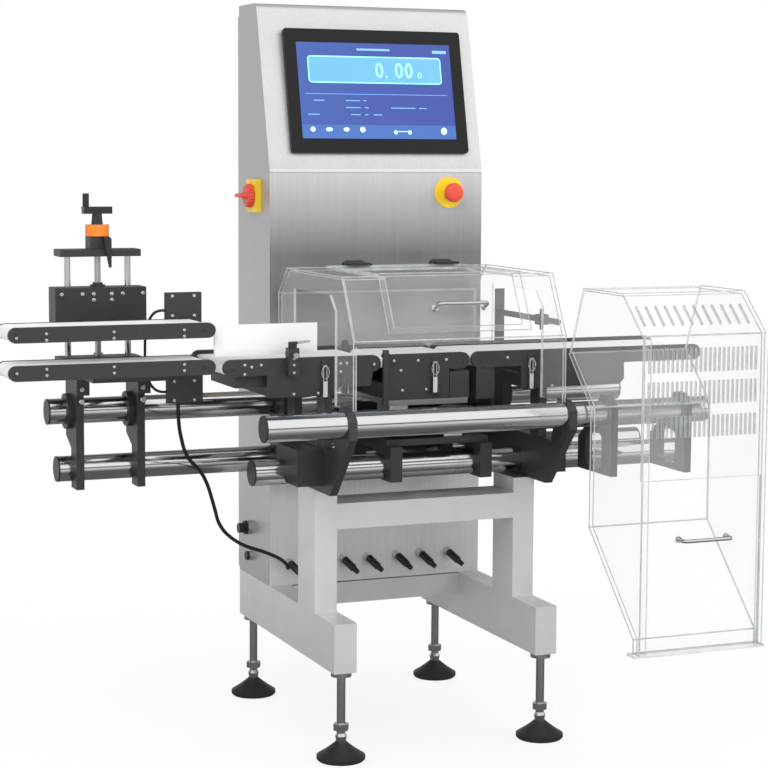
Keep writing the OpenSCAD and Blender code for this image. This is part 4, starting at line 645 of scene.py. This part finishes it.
def button_heads(name, body, places, radius):
    """Dome heads facing -Y at (x, y, z) in mm from the base: HEAD_PROFILE (r, out) turned about Y."""
    turn = np.linspace(0, 2 * math.pi, HEAD_SIDES, endpoint=False)
    head = [(r * radius * math.cos(a), -out * radius, r * radius * math.sin(a))
            for r, out in HEAD_PROFILE for a in turn]
    last = len(head) - HEAD_SIDES
    head = np.array(head + [(0, -SOCKET_FLOOR * radius, 0)])
    quads = ring_quads(len(HEAD_PROFILE), HEAD_SIDES)
    fan = [(last + k, last + (k + 1) % HEAD_SIDES, len(head) - 1) for k in range(HEAD_SIDES)]
    points, faces = [], []
    for place in places:
        faces += [tuple(i + len(points) for i in face) for face in quads + fan]
        points += [*in_frame(head + np.array(place))]
    made = mesh_object(name, points, faces, screw_zinc)
    made.data.polygons.foreach_set("use_smooth", np.ones(len(faces), bool))
    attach(made, body)


FRONT, BLOCK_FRONT, SUPPORT_FRONT, CARRIAGE_FRONT, MOTOR_FRONT = -218.0, -236, -5, 14, -118
UPPER_BELT_RISE = 61
belt_front = [(x, z) for x in (-735, -616, -489) for z in (725, 736)] + [(-787, 730)]
spacing_front = [(-377, 731), (-364, 727), (-377, 714), (-346, 730), (-288, 728), (-288, 714), (-284, 675),
                 (-237, 675), (-194, 728), (-194, 713), (-182, 728), (-128, 724)]
weigh_front = [(-89, 729), (-75, 711), (-41, 728), (-72, 674), (-24, 674), (16, 728)]
outfeed_front = [(142, 728), (236, 671)]
carriage_front = [(x, 847) for x in (-652, -613, -592, -558, -537, -499)] + [(-592, 836), (-558, 836)]
button_heads("lower_infeed_screws", "stand", [(x, FRONT, z) for x, z in belt_front], 3.2)
button_heads("upper_infeed_screws", "lift", [(x, FRONT, z + UPPER_BELT_RISE) for x, z in belt_front], 3.2)
button_heads("line_frame_screws", "stand",
             [(x, FRONT, z) for x, z in spacing_front + weigh_front + outfeed_front], 3.2)
button_heads("guide_block_screws", "stand", [(-290, BLOCK_FRONT, z) for z in (741, 730, 716)], 2.8)
button_heads("support_bolts", "stand", [(x, SUPPORT_FRONT, z) for x in (-621, -505) for z in (673, 650)], 6.0)
button_heads("carriage_screws", "lift", [(x, CARRIAGE_FRONT, z) for x, z in carriage_front], 4.2)
button_heads("upper_motor_screws", "lift",
             [(x, MOTOR_FRONT, z) for x in (-481, -440) for z in (814, 850)], 3.4)
button_heads("motor_plate_screws", "stand",
             [(x, MOTOR_FRONT, z) for x in (-478, -440) for z in (660, 695)], 3.4)

# White floor and surroundings. The floor fades to pure white away from the machine, and bright steel
# mirrors a darker floor near the machine than far from it.
white_floor, shader, at = finish_named("white_floor")
feed(shader, "Base Color", (0.85, 0.85, 0.85))
feed(shader, "Roughness", 0.8)
camera_ray = at.node("ShaderNodeLightPath", None, "Is Camera Ray")
glossy_ray = at.node("ShaderNodeLightPath", None, "Is Glossy Ray")
fade = at.node("ShaderNodeVectorMath", {"operation": "LENGTH"}, 1, i0=at).spread(0.5, 1.6, 0.80, 1.0)
bright = at.node("ShaderNodeEmission", Color=(1.0, 1.0, 1.0), Strength=1.0)
mirrored = at.axis(1).size().spread(0.6, 2.5, 0.14, 0.90)
dim = at.node("ShaderNodeEmission", Color=(1.0, 1.0, 1.0), Strength=mirrored)
seen = at.node("ShaderNodeMixShader", i0=camera_ray * fade, i1=Sock(at.tree, shader.outputs[0]), i2=bright)
seen = at.node("ShaderNodeMixShader", i0=glossy_ray, i1=seen, i2=dim)
at.tree.links.new(seen.out, at.tree.nodes["Material Output"].inputs["Surface"])
floor = mesh_object("floor", [(-20, -20, 0), (20, -20, 0), (20, 20, 0), (-20, 20, 0)], [(0, 1, 2, 3)],
                    white_floor)

# The studio is white to the camera and through clear sheet. Bright steel mirrors its bands, which run
# round the X axis: dark and white strips like a room's ceiling, wall and floor.
TURNS_PER_RADIAN = 0.5 / math.pi
world = bpy.data.worlds.new("studio")
world.use_nodes = True
bpy.context.scene.world = world
background = world.node_tree.nodes["Background"]
sky = Sock(world.node_tree, world.node_tree.nodes.new("ShaderNodeTexCoord").outputs["Generated"])
turn = sky.axis(2).angle(sky.axis(1) * -1.0) * TURNS_PER_RADIAN + 0.5
bands = sky.node("ShaderNodeValToRGB", {"stops": [
    (0.0, 0.80), (0.10, 0.30), (0.28, 0.14), (0.34, 0.42), (0.47, 0.90), (0.492, 0.90), (0.500, 0.12),
    (0.520, 0.12), (0.530, 1.25), (0.725, 1.25), (0.735, 0.10), (0.90, 0.14), (0.95, 0.60), (1.0, 0.80)]},
    Fac=turn)
camera_ray, glossy_ray, clear_ray = (sky.node("ShaderNodeLightPath", None, f"Is {kind} Ray")
                                     for kind in ("Camera", "Glossy", "Transmission"))
walls = two_tone(sky, glossy_ray, (0.72, 0.72, 0.72), bands)
backdrop = two_tone(sky, camera_ray.larger(clear_ray), walls, (1.0, 1.0, 1.0))
feed(background, "Color", backdrop)
feed(background, "Strength", 1.0)

# Three large soft lamps light it from the left front, the right front and behind. Bright steel
# doesn't mirror them.
AIM = (0, 0, 0.7)
for name, place, size, power in (("key_lamp", (-2.2, -2.6, 3.2), 2.4, 90),
                                 ("fill_lamp", (2.6, -2.2, 2.4), 2.4, 55),
                                 ("back_lamp", (0.5, 2.6, 3.0), 2.0, 40)):
    lamp_data = bpy.data.lights.new(name, "AREA")
    lamp_data.size = size
    lamp_data.energy = power
    lamp = bpy.data.objects.new(name, lamp_data)
    lamp.visible_glossy = False
    towards = (Vector(AIM) - Vector(place)).to_track_quat("-Z", "Y").to_matrix().to_4x4()
    lamp.matrix_world = Matrix.Translation(place) @ towards
    bpy.context.scene.collection.objects.link(lamp)
